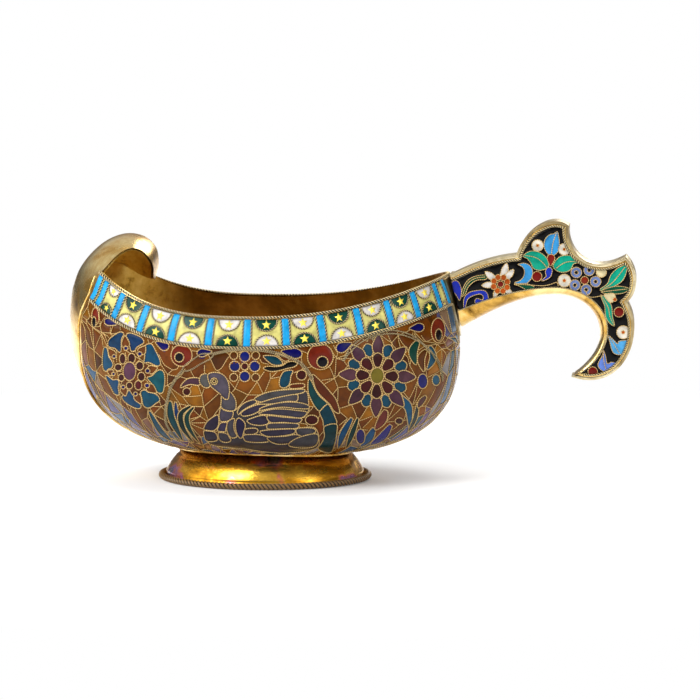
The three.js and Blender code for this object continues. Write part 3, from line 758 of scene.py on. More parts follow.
LEAF = (0.4, 0.75, 1, 0.95, 0.6, 0.1)
DROP = (0.1, 0.35, 0.62, 0.88, 1, 0.8, 0.3)
LEFT_PETALS = (
    ("0F5284", (108.3, 340.6), (113.2, 335.8), (120.2, 331.8), (124.1, 333.9), (121.7, 338.8), (121.4, 345.5),
     (121.1, 351.5), (118.6, 352.1), (115, 348.5), (108.6, 346.7)),
    ("114C88", (126.5, 334.2), (130.8, 333), (136.2, 334.8), (141.7, 337.6), (144.1, 341.5), (142.3, 344.2),
     (136.8, 347.3), (135, 350.9), (130.8, 350.9), (129.8, 346.1), (127.4, 340)),
    ("0E6A98", (145.3, 345.5), (148.3, 343.9), (152, 344.2), (156.2, 351.5), (160.2, 360.6), (160.2, 364.8),
     (156.8, 366.1), (151.4, 363.6), (147.7, 362.4), (143.8, 363), (144.4, 358.8), (145.3, 351.5)),
    ("0E7888", (146.8, 377.6), (152, 375.8), (155.6, 372.1), (159.8, 369.7), (163.5, 371.5), (165, 377.6),
     (164.4, 386.7), (162.9, 392.4), (159.8, 393.3), (156.2, 391.5), (153.2, 385.5), (149.5, 381.2)),
    ("0C6C90", (140.5, 392.1), (144.7, 389.7), (148.3, 392.1), (154.4, 393.3), (158.6, 396.4), (159.8, 400.6),
     (155.6, 403.6), (150.8, 407.3), (146.5, 407.9), (142.9, 404.8), (142, 398.8)),
    ("0E5E92", (121.7, 396.4), (126.5, 393.9), (128.9, 389.7), (132, 393.9), (136.2, 399.4), (141.1, 404.8),
     (139.8, 408.5), (134.4, 407.9), (127.7, 404.2), (123.5, 400.6)),
    ("1A649A", (105.3, 375.2), (108.9, 376.4), (112.6, 379.7), (117.4, 379.4), (119.2, 382.4), (118.3, 387.3),
     (119.2, 392.7), (118.6, 395.2), (114.4, 393.9), (110.8, 387.3), (107.1, 380.6)),
    ("1E6E9C", (103.5, 348.5), (106.5, 347.3), (108, 351.5), (108.9, 356.4), (112, 361.2), (113.2, 364.8),
     (111.4, 368.2), (108, 369.1), (106.5, 371.5), (103.5, 369.7), (102.3, 362.4)),
)
LEFT_EYES = (
    (125, 335.5, 125.9, 348.2, 2.3), (145.2, 346, 139.8, 353.9, 2.4), (157.5, 367.5, 147.7, 370.9, 2.5),
    (156.5, 393, 147.1, 385.5, 2.5), (141.3, 404, 135.6, 393.9, 2.1), (125.5, 396, 123.2, 387, 2.1),
    (107.5, 370.5, 113.5, 373.9, 1.9), (108.6, 348.5, 114.1, 356.4, 2.1),
)
EYE_WIDTH = 3.6
LEFT_HEARTS = (
    ("5A1612", 122.6, 358.8, 3.2, 5.4), ("5A1612", 131.7, 358.2, 3.8, 5), ("5A1612", 139.8, 365.8, 4, 4.4),
    ("5A1612", 141.4, 376.7, 3.8, 4.6), ("7A1420", 138.3, 385.2, 3.6, 4.8),
    ("5A1612", 129.5, 385.5, 3.2, 3.6), ("5A1612", 121.4, 377.6, 3.2, 3.8),
    ("5A1612", 118.3, 367.3, 3.8, 3.6), ("86506E", 129.5, 371.2, 6.5, 9.4),
)
RIGHT_MIDDLE = (377.2, 375.7)
RIGHT_SQUEEZE = (0.93, 1.0)
RIGHT_FIRST_TURN = 88
GAP_PETAL = ((23, -9), (30, -11), (34, 0), (30, 11), (23, 9), (20, 0))
POINTED_PETAL = ((22, -8), (27, -13), (33, -10), (42, 0), (33, 10), (27, 13), (22, 8))
SMALL_PETAL = ((9, -14), (14, -19), (20, -16), (23, 0), (20, 16), (14, 19), (9, 14))
POINTED_COLOURS = ("7E4A5C", "76445E", "8A5464", "6C3E50")
SMALL_COLOURS = ("5A1212", "6A1614")
BERRIES = (
    (181.6, 355.4, 10.6, 11, 179.2, 357.3, 4.6), (320.4, 356.7, 13, 13, 322.5, 361.9, 5.6),
    (438.1, 330.3, 7, 12.5, 438.7, 334.9, 3.4), (95.4, 316.5, 3.6, 9, 94, 322, 2.2),
)
BLUE_DROPS = (
    ("14108C", 155.5, 342, 168.5, 348, 9.5), ("14108C", 212, 351.5, 197, 353.5, 8.5),
    ("14108C", 281, 351, 302, 354.5, 10.5), ("14108C", 352, 343, 336.5, 350, 10.5),
    ("14108C", 409, 328.5, 424, 327, 9), ("14108C", 117, 324.5, 104.5, 320.5, 7.5),
)
RED_DOTS = (
    ("5E1410", 301.5, 375.1, 5, 5), ("5E1410", 311.8, 419.9, 6.5, 5), ("5E1410", 186.8, 391.7, 4, 4),
    ("5E1410", 399, 421, 4, 3.4),
)
SMALL_MIDDLE = (244.7, 366.4)
SMALL_RINGS = ((10, 5.3, "1A2C9C"), (15.5, 4, "8A4A12"))
FOLIAGE = (
    ("0F6078", (263.2, 355.9), (268.6, 355.4), (275.7, 356.3), (280.2, 359.5), (282.9, 363.5), (279.3, 365.3),
     (273, 364.8), (267.7, 361.3), (264.1, 357.7)),
    ("9A4410", (273.9, 353.2), (281.1, 354.6), (288.2, 357.7), (289.1, 359.9), (285.5, 361.3), (282, 359.5),
     (278.4, 355.9)),
    ("0A0806", (263.2, 368.4), (267.7, 366.2), (275.7, 366.6), (282.9, 365.3), (287.3, 362.1), (293.6, 361.3),
     (297.6, 363.9), (293.6, 367.1), (287.3, 368.4), (279.3, 370.6), (270.4, 371.5)),
    ("0E6484", (292.7, 370.6), (290.9, 376.4), (290, 382.7), (287.3, 386.7), (282.9, 388), (279.7, 385.8),
     (279.3, 380.9), (281.1, 375.5), (284.6, 371.1)),
    ("9A3E12", (290.9, 384.5), (303.4, 383.6), (303.4, 387.6), (290.4, 388.5)),
    ("8A3A0E", (312.3, 374.6), (316.8, 377.3), (323.9, 384.5), (330, 391.6), (336.5, 400.3), (339.7, 413.1),
     (334, 411), (330, 404.6), (325.7, 400.5), (319.5, 394.3), (315, 387.1)),
    ("0C5C60", (309.2, 378.7), (312.3, 382.7), (315, 388.9), (319.5, 396.1), (327.5, 404.1), (320, 411),
     (315, 406.8), (311.4, 400.5), (308.3, 392.5), (307.9, 383.6)),
    ("0B5468", (327.5, 404.1), (332, 410), (335, 417), (336.3, 424), (324.3, 426.5), (323, 421.1),
     (319.5, 413), (320, 411)),
    ("0A4A50", (336.3, 424), (336.8, 433), (334.5, 445), (330, 453), (318, 449), (321.5, 443), (324.5, 436),
     (324.3, 426.5)),
)
LEAVES = (
    ("0E5C66", 7.5, (170, 401), (171.5, 418), (183, 441)),
    ("1450A0", 5, (175.5, 402), (178, 418), (192, 444)),
    ("0C3A3A", 6, (191, 406), (181, 414), (183, 428), (194, 443)),
    ("0E5C56", 5.5, (194, 407), (187, 416), (189, 428), (200, 444)),
    ("1A6A8A", 6, (149, 411), (160, 430), (172, 441)), ("0A6450", 9, (418, 341), (413, 352), (416, 365)),
    ("95510F", 7.5, (426, 350), (421, 359), (424, 372)), ("1E7AA0", 7, (430, 346), (433, 358), (427, 370)),
    ("1478A8", 9.5, (392, 383), (399, 398), (408.5, 408), (409.5, 430)),
    ("4A5A5A", 4.5, (418, 402), (415, 418), (408, 432)), ("1668A0", 7, (352, 418), (343, 434), (338, 449)),
    ("0E4A46", 5.5, (358, 418), (352, 434), (346, 449)), ("1A6AA4", 8, (374, 428), (369, 438), (360, 447)),
    ("3E34A8", 8, (391, 425), (382, 437), (370, 445)), ("9C4438", 9, (386, 410), (382, 420), (375, 430)),
    ("7A4A4A", 6, (426, 396), (421, 402), (418, 408)),
)
BUDS = (("3A2A90", 360.5, 436.5, 4.6, 7.6), ("2A2CA0", 422.6, 381.2, 5, 7.5), ("1E78A0", 436, 380, 4, 5.5))
SWAN = (
    ("5A545C", (207.9, 441.6), (216.8, 435.4), (220.4, 421.1), (219.5, 413.9), (234.6, 410.4), (240, 405.9),
     (254.3, 398.8), (275.7, 390.7), (304.3, 389.4), (308.8, 405), (308.8, 410.4), (301.6, 419.3),
     (298.9, 427.3), (314.1, 427.3), (318.6, 437.1), (315, 448.8), (279.3, 453), (243.6, 448.8),
     (216.8, 446.1)),
    ("6E4458", (180.3, 387.8), (184, 381.5), (190, 378), (199.3, 378.4), (199.2, 385.2), (189.9, 384.5)),
    ("83807C", (199.4, 380), (200.7, 375.5), (204.3, 373.8), (207.9, 374.6), (208.3, 380), (210.5, 385.4),
     (207, 388), (202.5, 386.3), (199.8, 382.7)),
    ("7E7284", (207.9, 374.6), (211.4, 372.7), (216.8, 372.4), (223, 374.6), (227.5, 380), (229.3, 387.1),
     (229.3, 394.3), (228.4, 398.8), (224.8, 399.2), (221.3, 396.1), (220.4, 394.3), (215.9, 390.7),
     (211, 386.3), (208.3, 380)),
    ("77707A", (221.3, 396.1), (224.8, 399.2), (228.4, 398.8), (229.7, 391.6), (233.8, 396.1), (236, 401.4),
     (236, 407.7), (233.8, 410.8), (228.4, 410.8), (223, 409), (220.8, 405.9), (221.3, 400.5)),
    ("6E6478", (220.8, 406.8), (223, 409.5), (228.4, 411.3), (232.9, 411.3), (232.9, 415.7), (230.2, 420.2),
     (225.7, 421.5), (220.4, 421.1), (219, 415.7), (219.9, 410.4)),
    ("4A3E5A", (203.8, 429.1), (205.6, 423.8), (209.6, 419.3), (217.7, 414.8), (219, 421.1), (217.7, 427.3),
     (213.2, 430.9), (207.9, 430.4)),
    ("443A50", (203.8, 430.9), (207.9, 430.9), (213.7, 431.8), (216.8, 434.5), (217.7, 439.8), (212.3, 441.6),
     (206.1, 440.7), (204.3, 436.3)),
    ("5A4E72", (220.8, 422.9), (227.5, 422.9), (225.7, 429.1), (225.3, 431.8), (217.7, 430.9),
     (218.6, 426.4)),
    ("6A6470", (228.4, 421.1), (234.6, 418.4), (233.8, 424.6), (234.6, 430.9), (237.3, 436.3), (232, 438),
     (228.4, 434.5), (226.6, 428.2)),
    ("5A5462", (218.6, 432.7), (226.6, 433.6), (229.3, 437.1), (231.1, 440.7), (225.7, 442.5),
     (219.5, 439.8)),
    ("3A2E60", (239.1, 417.9), (243.6, 421.1), (245.4, 425.5), (243.6, 432.7), (241.8, 438), (238.7, 437.1),
     (236, 430.9), (235.5, 423.8), (236.9, 419.3)),
    ("4E4560", (247.1, 420.2), (252.5, 417.9), (259.6, 415.7), (265.9, 415.7), (269, 420.2), (267.7, 423.8),
     (261.4, 425.5), (252.5, 424.6), (248, 422.4)),
    ("6E6C70", (254.3, 398.8), (264.1, 393.4), (275.7, 390.7), (292.7, 389.4), (304.3, 389.4), (303.4, 392.5),
     (295.4, 394.3), (275.7, 397.9), (262, 402)),
    ("787278", (262, 402), (275.7, 397.9), (295.4, 394.3), (298, 397), (296.3, 401.4), (287.3, 401.4),
     (270.4, 404.1), (256.1, 403.8)),
    ("5E5868", (237.3, 412.1), (240, 406.8), (245.4, 402.3), (254.3, 399.6), (256.1, 403.2), (247.1, 407.7),
     (240.9, 412.1), (238.7, 414.8)),
    ("544A68", (240.9, 413), (247.1, 408.6), (257.9, 404.6), (270.4, 404.6), (264.1, 407.7), (254.3, 413.9),
     (243.6, 416.2)),
    ("6A6470", (259.6, 408.6), (270.4, 404.6), (282.9, 402.3), (297.1, 402.3), (307.9, 405), (308.8, 408.6),
     (297.1, 408.6), (283.8, 407.2), (270.4, 408.6), (261.4, 410.4)),
    ("605A6E", (258.8, 413), (270.4, 409.5), (283.8, 409), (297.1, 410.4), (307, 412.1), (301.6, 417.9),
     (288.2, 416.6), (270.4, 414.8), (261.4, 414.4)),
    ("58506C", (267.7, 415.7), (283.8, 417.1), (300.7, 418.4), (301.6, 420.2), (298, 423.3), (283.8, 422.4),
     (270.4, 422.4)),
    ("66606C", (269.5, 423.3), (283.8, 422.9), (298, 423.8), (297.1, 428.2), (283.8, 428.7), (268.6, 429.1),
     (266.8, 426)),
    ("5A4650", (245.4, 429.1), (256.1, 428.2), (257.9, 431.8), (252.5, 434.5), (244.5, 434)),
    ("4E4660", (266.8, 430), (283.8, 429.1), (294.5, 429.1), (293.6, 433.6), (279.3, 436.3), (266.8, 436.3),
     (259.6, 431.8)),
    ("5C5264", (244.5, 434.9), (257.9, 434.5), (266.8, 436.7), (270.4, 440.7), (261.4, 442.5), (247.1, 441.6),
     (243.6, 438.5)),
    ("6E6A74", (298, 428.2), (313.2, 428.2), (315, 432.7), (301.6, 436.3), (296.3, 432.7)),
    ("57505E", (267.7, 437.1), (283.8, 436.3), (295.4, 434.5), (301.6, 437.1), (292.7, 442.5), (279.3, 444.3),
     (270.4, 441.6)),
    ("5E5A60", (297.1, 438), (315, 433.6), (318.6, 438), (315, 446.1), (301.6, 447.9), (288.2, 445.2)),
)
SWAN_EYE = (214.1, 381.3)
MEDALLION = (
    (176.8, 439.6), (167.2, 425.2), (165.3, 413.8), (168.2, 396.5), (172, 385), (181.6, 371.7), (192.1, 365),
    (203.6, 357.3), (217, 353), (236, 349.7), (252, 349.6), (269.6, 351.6), (283.9, 355.4), (297.3, 361.1),
    (306, 369), (313, 380),
)
RIGHT_ARCH = ((343, 361), (353, 347), (370, 336), (392, 332), (412, 337), (427, 348), (438, 362), (443, 380))


def left_rosette(art):
    art.shapes(LEFT_PETALS)
    for tip_x, tip_y, x, y, radius in LEFT_EYES:
        art.cell(drop(tip_x, tip_y, x, y, radius * EYE_WIDTH), "A4560A")
        art.cell(disc(x, y, radius, steps=12), "16169A")
    art.discs(LEFT_HEARTS)


def right_rosette(art):
    for petal in range(8):
        turn = RIGHT_FIRST_TURN + 45 * petal
        long_colour = POINTED_COLOURS[petal % len(POINTED_COLOURS)]
        short_colour = SMALL_COLOURS[petal % len(SMALL_COLOURS)]
        art.cell(around(RIGHT_MIDDLE, RIGHT_SQUEEZE, turn + 22.5, GAP_PETAL), "14688A")
        art.cell(around(RIGHT_MIDDLE, RIGHT_SQUEEZE, turn, POINTED_PETAL), long_colour)
        art.cell(around(RIGHT_MIDDLE, RIGHT_SQUEEZE, turn, SMALL_PETAL), short_colour)
    art.cell(disc(*RIGHT_MIDDLE, 6.8, 8.2), "B5A030")


def berries(art):
    for x, y, wide, high, seed_x, seed_y, seed in BERRIES:
        art.cell(disc(x, y, wide, high), "B0381C")
        art.cell(disc(seed_x, seed_y, seed, seed * high / wide), "140A1E")
    art.drops(BLUE_DROPS)
    art.discs(RED_DOTS)


def small_flower(art):
    x, y = SMALL_MIDDLE
    for turn in range(4):
        angle = math.pi / 2 * turn
        for reach, radius, colour in SMALL_RINGS:
            art.cell(disc(x + reach * math.cos(angle), y + reach * math.sin(angle), radius), colour)
            angle += math.pi / 4
    art.cell(disc(x, y, 3.6), "6A1414")


def foliage(art):
    art.shapes(FOLIAGE)
    art.leaves(LEAVES)
    art.discs(BUDS)


def swan(art):
    """A swan at rest: beak, head, neck, breast and a folded wing of long feathers."""
    art.shapes(SWAN)
    art.cell(disc(*SWAN_EYE, 3.4), "8C9060")
    art.cell(disc(*SWAN_EYE, 1.7, steps=10), "1A1408")


def body_ornament():
    art = Ornament()
    for motif in (small_flower, swan, foliage, left_rosette, right_rosette, berries):
        motif(art)
    return art


# Charts of the enamelled faces
REFINE_TURNS = 4
REFINE_STEP = 0.1
LEAST_SPREAD = 0.3
BAND_FIRST_LEVEL = 1.8
END_LEAN_POWER = 12


class Chart:
    """A part of the bowl's near face laid flat in millimetres, looked up in a fine table."""

    def __init__(self, length, height, place, columns, rows):
        self.length = length
        self.height = height
        self.columns = columns
        self.rows = rows
        along = np.linspace(0, length, columns + 1)
        up = np.linspace(0, height, rows + 1)
        self.grid = np.stack(np.meshgrid(along, up, indexing="ij"), axis=-1).reshape(-1, 2)
        angle, level = place(self.grid)
        shape = (columns + 1, rows + 1, 3)
        self.points = shell_point(angle, level).reshape(shape)
        self.normals = shell_normal(angle, level).reshape(shape)

    def surface(self, chart, lift):
        """Points above the face at chart places, and the face's normals there."""
        x = np.clip(chart[:, 0] / self.length, 0, 1) * self.columns
        y = np.clip(chart[:, 1] / self.height, 0, 1) * self.rows
        column = np.minimum(x.astype(int), self.columns - 1)
        row = np.minimum(y.astype(int), self.rows - 1)
        x = (x - column)[:, None]
        y = (y - row)[:, None]

        def blend(table):
            low = mix(table[column, row], table[column + 1, row], x)
            high = mix(table[column, row + 1], table[column + 1, row + 1], x)
            return mix(low, high, y)

        normals = unit(blend(self.normals))
        return blend(self.points) + normals * np.broadcast_to(lift, (len(chart),))[:, None], normals

    def pixels(self, chart):
        return to_pixels(self.surface(chart, ENAMEL_LIFT)[0])

    def prepare(self):
        self.seen = self.pixels(self.grid)
        self.tree = kdtree.KDTree(len(self.seen))
        for index, (x, y) in enumerate(self.seen):
            self.tree.insert((x, y, 0), index)
        self.tree.balance()

    def from_pixels(self, pixels):
        """Chart places of pixels, refined from the nearest known ones."""
        start = [self.tree.find((x, y, 0))[1] for x, y in pixels]
        chart = self.grid[start].copy()
        for _ in range(REFINE_TURNS):
            here = self.pixels(chart)
            east = (self.pixels(chart + [REFINE_STEP, 0]) - here) / REFINE_STEP
            north = (self.pixels(chart + [0, REFINE_STEP]) - here) / REFINE_STEP
            miss = pixels - here
            det = east[:, 0] * north[:, 1] - east[:, 1] * north[:, 0]
            least = np.where(det < 0, -LEAST_SPREAD, LEAST_SPREAD)
            det = np.where(np.abs(det) < LEAST_SPREAD, least, det)
            move_x = (miss[:, 0] * north[:, 1] - miss[:, 1] * north[:, 0]) / det
            move_y = (east[:, 0] * miss[:, 1] - east[:, 1] * miss[:, 0]) / det
            chart[:, 0] = np.clip(chart[:, 0] + np.clip(move_x, -1, 1), 0, self.length)
            chart[:, 1] = np.clip(chart[:, 1] + np.clip(move_y, -1, 1), 0, self.height)
        return chart


def body_chart():
    """The enamelled field: along from the handle to the prow, and up from the foot to the band."""
    angles = np.linspace(0, math.pi, 400)
    belly = shell_point(angles, 1.0)
    run = np.concatenate([[0], np.cumsum(np.linalg.norm(np.diff(belly, axis=0), axis=1))])
    length = run[-1]
    run = run / length
    levels = np.linspace(FIELD_FOOT_LEVEL, 2, 300)
    side = shell_point(np.full(300, math.pi / 2), levels)
    rise = np.concatenate([[0], np.cumsum(np.linalg.norm(np.diff(side, axis=0), axis=1))])
    top_level = float(band_level(np.array(math.pi / 2)))
    height = float(np.interp(top_level, levels, rise))
    shares = (levels - FIELD_FOOT_LEVEL) / (top_level - FIELD_FOOT_LEVEL)

    def place(chart):
        share = chart[:, 0] / length
        up = np.interp(chart[:, 1], rise, shares)
        level = np.ones(share.shape)
        for _ in range(5):
            low, high = field_ends(level)
            first = np.interp(low, angles, run)
            last = np.interp(high, angles, run)
            angle = np.interp(mix(first, last, share), run, angles)
            top = band_edge_level(angle, -BOWL_WIRE_DIAMETER / 2)
            level = FIELD_FOOT_LEVEL + (top - FIELD_FOOT_LEVEL) * up
        return 2 * math.pi - angle, level

    return Chart(length, height, place, 520, 180)


def band_chart():
    """The rim band: along from the handle to the prow, and up from the lower wire to the upper."""
    angles = np.linspace(0, math.pi, 600)
    rim = rim_point(angles)
    run = np.concatenate([[0], np.cumsum(np.linalg.norm(np.diff(rim, axis=0), axis=1))])
    low, high = field_ends(np.array(2.0))
    first, last = np.interp(low, angles, run), np.interp(high, angles, run)
    height = BAND_HEIGHT - BOWL_WIRE_DIAMETER * 1.5

    def place(chart):
        top_angle = np.interp(first + chart[:, 0], run, angles)
        share = (top_angle - low) / (high - low)
        level = np.full(share.shape, BAND_FIRST_LEVEL)
        for _ in range(5):
            near, far = field_ends(level)
            lean = (near - low) * (1 - share) ** END_LEAN_POWER + (far - high) * share ** END_LEAN_POWER
            angle = top_angle + lean
            foot = band_edge_level(angle, BOWL_WIRE_DIAMETER / 2)
            top = level_of_height(angle, shell_point(angle, 2.0)[..., 2] - BOWL_WIRE_DIAMETER)
            level = mix(foot, top, chart[:, 1] / height)
        return 2 * math.pi - angle, level

    chart = Chart(last - first, height, place, 760, 44)
    chart.along_of = lambda degrees: float(np.interp(math.pi - math.radians(degrees), angles, run) - first)
    return chart


# Cells, wires and painted shade
SHARD_ROW_SHARE = 0.8
SHARD_SHIFT = 0.36
JOINED_SHARE = 0.4
AMBER = ("C06A06", "B25E08", "9C5006", "D07E10", "AE6206", "8A4A08", "C8700A", "B87008", "A05006", "DA8A18")
AMBER_LIGHT = (0.65, 1.25)
# Pale tones for shards whose face turns from the camera: partly shards of other colours, partly painted
# glancing reflection.
FLANK = ("B8A8D0", "7C9CC8", "C08878", "8A86C0", "C8A080", "5E8AB4", "A886B8", "D0C8C8", "B87A60", "4E7A8E")
SHEEN_AND_MIXED_FACING = 0.52
SHEEN_AND_MIXED_SHARE = 0.85
DIP_REACH = 0.6
BODY_DIP = 0.12
BAND_DIP = 0.08
BAND_DEPTH = 0.7
HANDLE_DEPTH = 0.66
WIRE_SAMPLE = 0.3
EDGE_SAMPLE = 0.6
OUTLINE_SAMPLE = 1.6
MOTIF_WIRE_SHARE = 1.4
HEAVY_DIAMETER = 0.46
HEAVY_PITCH = 1.15
HEAVY_OFFSET = 0.25
HEAVY_LIFT = 0.1


def inside(points, outline):
    """Which points lie within a closed outline."""
    hit = np.zeros(len(points), bool)
    near = np.all((points >= outline.min(axis=0)) & (points <= outline.max(axis=0)), axis=1)
    x, y = points[near].T
    found = np.zeros(len(x), bool)
    for start, end in zip(outline, np.roll(outline, -1, axis=0)):
        crosses = (start[1] > y) != (end[1] > y)
        at = start[0] + (y - start[1]) / (end[1] - start[1] + 1e-12) * (end[0] - start[0])
        found ^= crosses & (x < at)
    hit[near] = found
    return hit


def covered(points, cells):
    """The last cell that covers each point, or -1."""
    found = np.full(len(points), -1)
    for index, (outline, _) in enumerate(cells):
        found[inside(points, outline)] = index
    return found


def mosaic(width, height, pitch, random):
    """Shards of three or four corners that fill a field, and the straight edges between them."""
    seeds = []
    row_pitch = pitch * SHARD_ROW_SHARE
    for row in range(-1, int(height / row_pitch) + 3):
        for column in range(-1, int(width / pitch) + 3):
            x = (column + 0.5 * (row % 2)) * pitch + random.uniform(-SHARD_SHIFT, SHARD_SHIFT) * pitch
            y = row * row_pitch + random.uniform(-SHARD_SHIFT, SHARD_SHIFT) * pitch
            seeds.append(Vector((x, y)))
    result = geometry.delaunay_2d_cdt(seeds, [], [], 0, 1e-5)
    places = np.array([tuple(place) for place in result[0]])
    triangles = [tuple(face) for face in result[2]]
    owner = {pair: index for index, face in enumerate(triangles) for pair in zip(face, face[1:] + face[:1])}
    shard = list(range(len(triangles)))
    joined = set()
    opened = set()
    for (here, there), index in owner.items():
        other = owner.get((there, here))
        if other is None or index in joined or other in joined or random.uniform() > JOINED_SHARE:
            continue
        joined.update((index, other))
        opened.update(((here, there), (there, here)))
        shard[other] = shard[index]
    edges = [
        (places[here], places[there]) for here, there in owner
        if (here, there) not in opened and (here < there or (there, here) not in owner)
    ]
    return [places[list(face)] for face in triangles], shard, edges


def clipped_runs(points, keep):
    """The stretches of a run whose points are kept."""
    runs = []
    current = []
    for point, kept in zip(points, keep):
        if kept:
            current.append(point)
        elif current:
            runs.append(current)
            current = []
    runs.append(current)
    return [np.array(run) for run in runs if len(run) > 2]


def visible_runs(lines, cells):
    """The stretches of each cell's outline that no later cell covers."""
    lengths = [len(line) for line in lines]
    found = covered(np.concatenate(lines), cells)
    starts = np.concatenate([[0], np.cumsum(lengths)])
    runs = []
    for index, line in enumerate(lines):
        keep = found[starts[index]:starts[index + 1]] <= index
        if keep.all():
            runs.append((line, True))
        elif keep.any():
            order = np.roll(np.arange(len(line)), -int(np.argmin(keep)))
            runs += [(run, False) for run in clipped_runs(line[order], keep[order])]
    return runs


def kept_runs(runs, outline):
    """Runs cut off where they leave an outline."""
    kept = []
    for run, closed in runs:
        keep = inside(run, outline)
        if keep.all():
            kept.append((run, closed))
        elif keep.any():
            order = np.roll(np.arange(len(run)), -int(np.argmin(keep))) if closed else np.arange(len(run))
            kept += [(part, False) for part in clipped_runs(run[order], keep[order])]
    return kept


def paint(piece, colours):
    """Gives every corner of a face the face's colour."""
    mesh = piece.data
    layer = mesh.color_attributes.new(CELL_LAYER, "FLOAT_COLOR", "CORNER")
    totals = np.empty(len(mesh.polygons), np.int32)
    mesh.polygons.foreach_get("loop_total", totals)
    layer.data.foreach_set("color", np.repeat(colours, totals, axis=0).astype(np.float32).ravel())


def point_tree(points):
    tree = kdtree.KDTree(len(points))
    for index, point in enumerate(points):
        tree.insert(point, index)
    tree.balance()
    return tree


def colour_motifs(colours, found, cells):
    """Gives the places that a cell covers its colour."""
    motif = np.array([colour for _, colour in cells])
    colours[found >= 0] = motif[found[found >= 0]]


def enamel_sheet(chart, wire_points, dip):
    """A sheet of enamel that dips towards its wires, with its edges turned down to the metal."""
    tree = point_tree(wire_points)
    flat, _ = chart.surface(chart.grid, ENAMEL_LIFT)
    near = np.array([tree.find(point)[2] for point in flat])
    points, _ = chart.surface(chart.grid, ENAMEL_LIFT - dip * np.exp(-(near / DIP_REACH) ** 2))
    below, _ = chart.surface(chart.grid, 0.0)
    columns, rows = chart.columns, chart.rows
    step = rows + 1
    border = [column * step for column in range(columns + 1)]
    border += [columns * step + row for row in range(1, rows + 1)]
    border += [column * step + rows for column in range(columns - 1, -1, -1)]
    border += [row for row in range(rows - 1, 0, -1)]
    count = (columns + 1) * step
    skirt = {index: count + place for place, index in enumerate(border)}
    faces = [tuple(face) for face in grid_faces(columns, rows)]
    sheet = len(faces)
    for here, there in zip(border, border[1:] + border[:1]):
        faces.append((there, here, skirt[here], skirt[there]))
    return np.vstack([points, below[border]]), faces, sheet, near


def enamel_on_both_sides(points, faces, colours, name, slot, node):
    """The same enamel on the near side and mirrored on the far side."""
    near = (points, [tuple(reversed(face)) for face in faces])
    for side, (places, turned) in (("near", near), ("far", mirrored(points, faces))):
        piece = make_mesh(f"{name}_{side}", places, turned)
        paint(piece, colours)
        finish_piece(piece, MATERIALS["enamel"], slot, f"{node}_{side}")


def wires_on_both_sides(bundle, name, material, node=None):
    for side, wires in (("near", bundle), ("far", bundle.mirror())):
        nodes = [f"{node}_{side}"] if node else []
        finish_piece(wires.build(f"{name}_{side}"), MATERIALS[material], "gilt_wire", *nodes)


def painted_shade_beside(distance, share, reach, whole=1.0):
    """Painted shade beside a wire or an edge: how much of the colour's light is left there."""
    return (whole - share * np.exp(-(distance / reach) ** 2))[:, None]


def shard_colours(chart, middle, shards, owners, random):
    """The colours of the ground: amber shards, and pale mixed ones where the flank turns away from the
    camera, which are partly shards of other colours and partly painted glancing reflection.
    """
    shard = np.array(owners)[covered(middle, [(outline, None) for outline in shards])]
    facing = chart.surface(middle, 0.0)[1] @ camera_axes()[2]
    total = len(shards)
    ground = np.array([linear(AMBER[random.integers(len(AMBER))]) for _ in shards])
    ground[:, :3] *= random.uniform(*AMBER_LIGHT, (total, 1))
    flank = np.array([linear(FLANK[random.integers(len(FLANK))]) for _ in shards])
    mean_facing = np.bincount(shard, facing, total) / np.maximum(np.bincount(shard, minlength=total), 1)
    # Where the face turns from the camera: partly other-coloured shards, partly painted glancing reflection.
    on_flank = (mean_facing < SHEEN_AND_MIXED_FACING) & (random.uniform(0, 1, total) < SHEEN_AND_MIXED_SHARE)
    ground[on_flank] = flank[on_flank]
    return ground[shard]


def heavy_wires(chart, wire_points):
    """The doubled, twisted wires of the medallion and of the arch beside it."""
    heavy = Bundle()
    for line in (MEDALLION, RIGHT_ARCH):
        places = chart.from_pixels(resample(rounded(line, 8, closed=False), 1.5))
        tangent = unit(np.gradient(places, axis=0))
        beside = np.stack([-tangent[:, 1], tangent[:, 0]], axis=-1)
        for offset in (-HEAVY_OFFSET, HEAVY_OFFSET):
            points, normals = chart.surface(places + beside * offset, ENAMEL_LIFT + HEAVY_LIFT)
            heavy.twisted(points, normals, HEAVY_DIAMETER, HEAVY_PITCH, steps=6)
            wire_points.extend(resample(points, WIRE_SAMPLE))
    return heavy


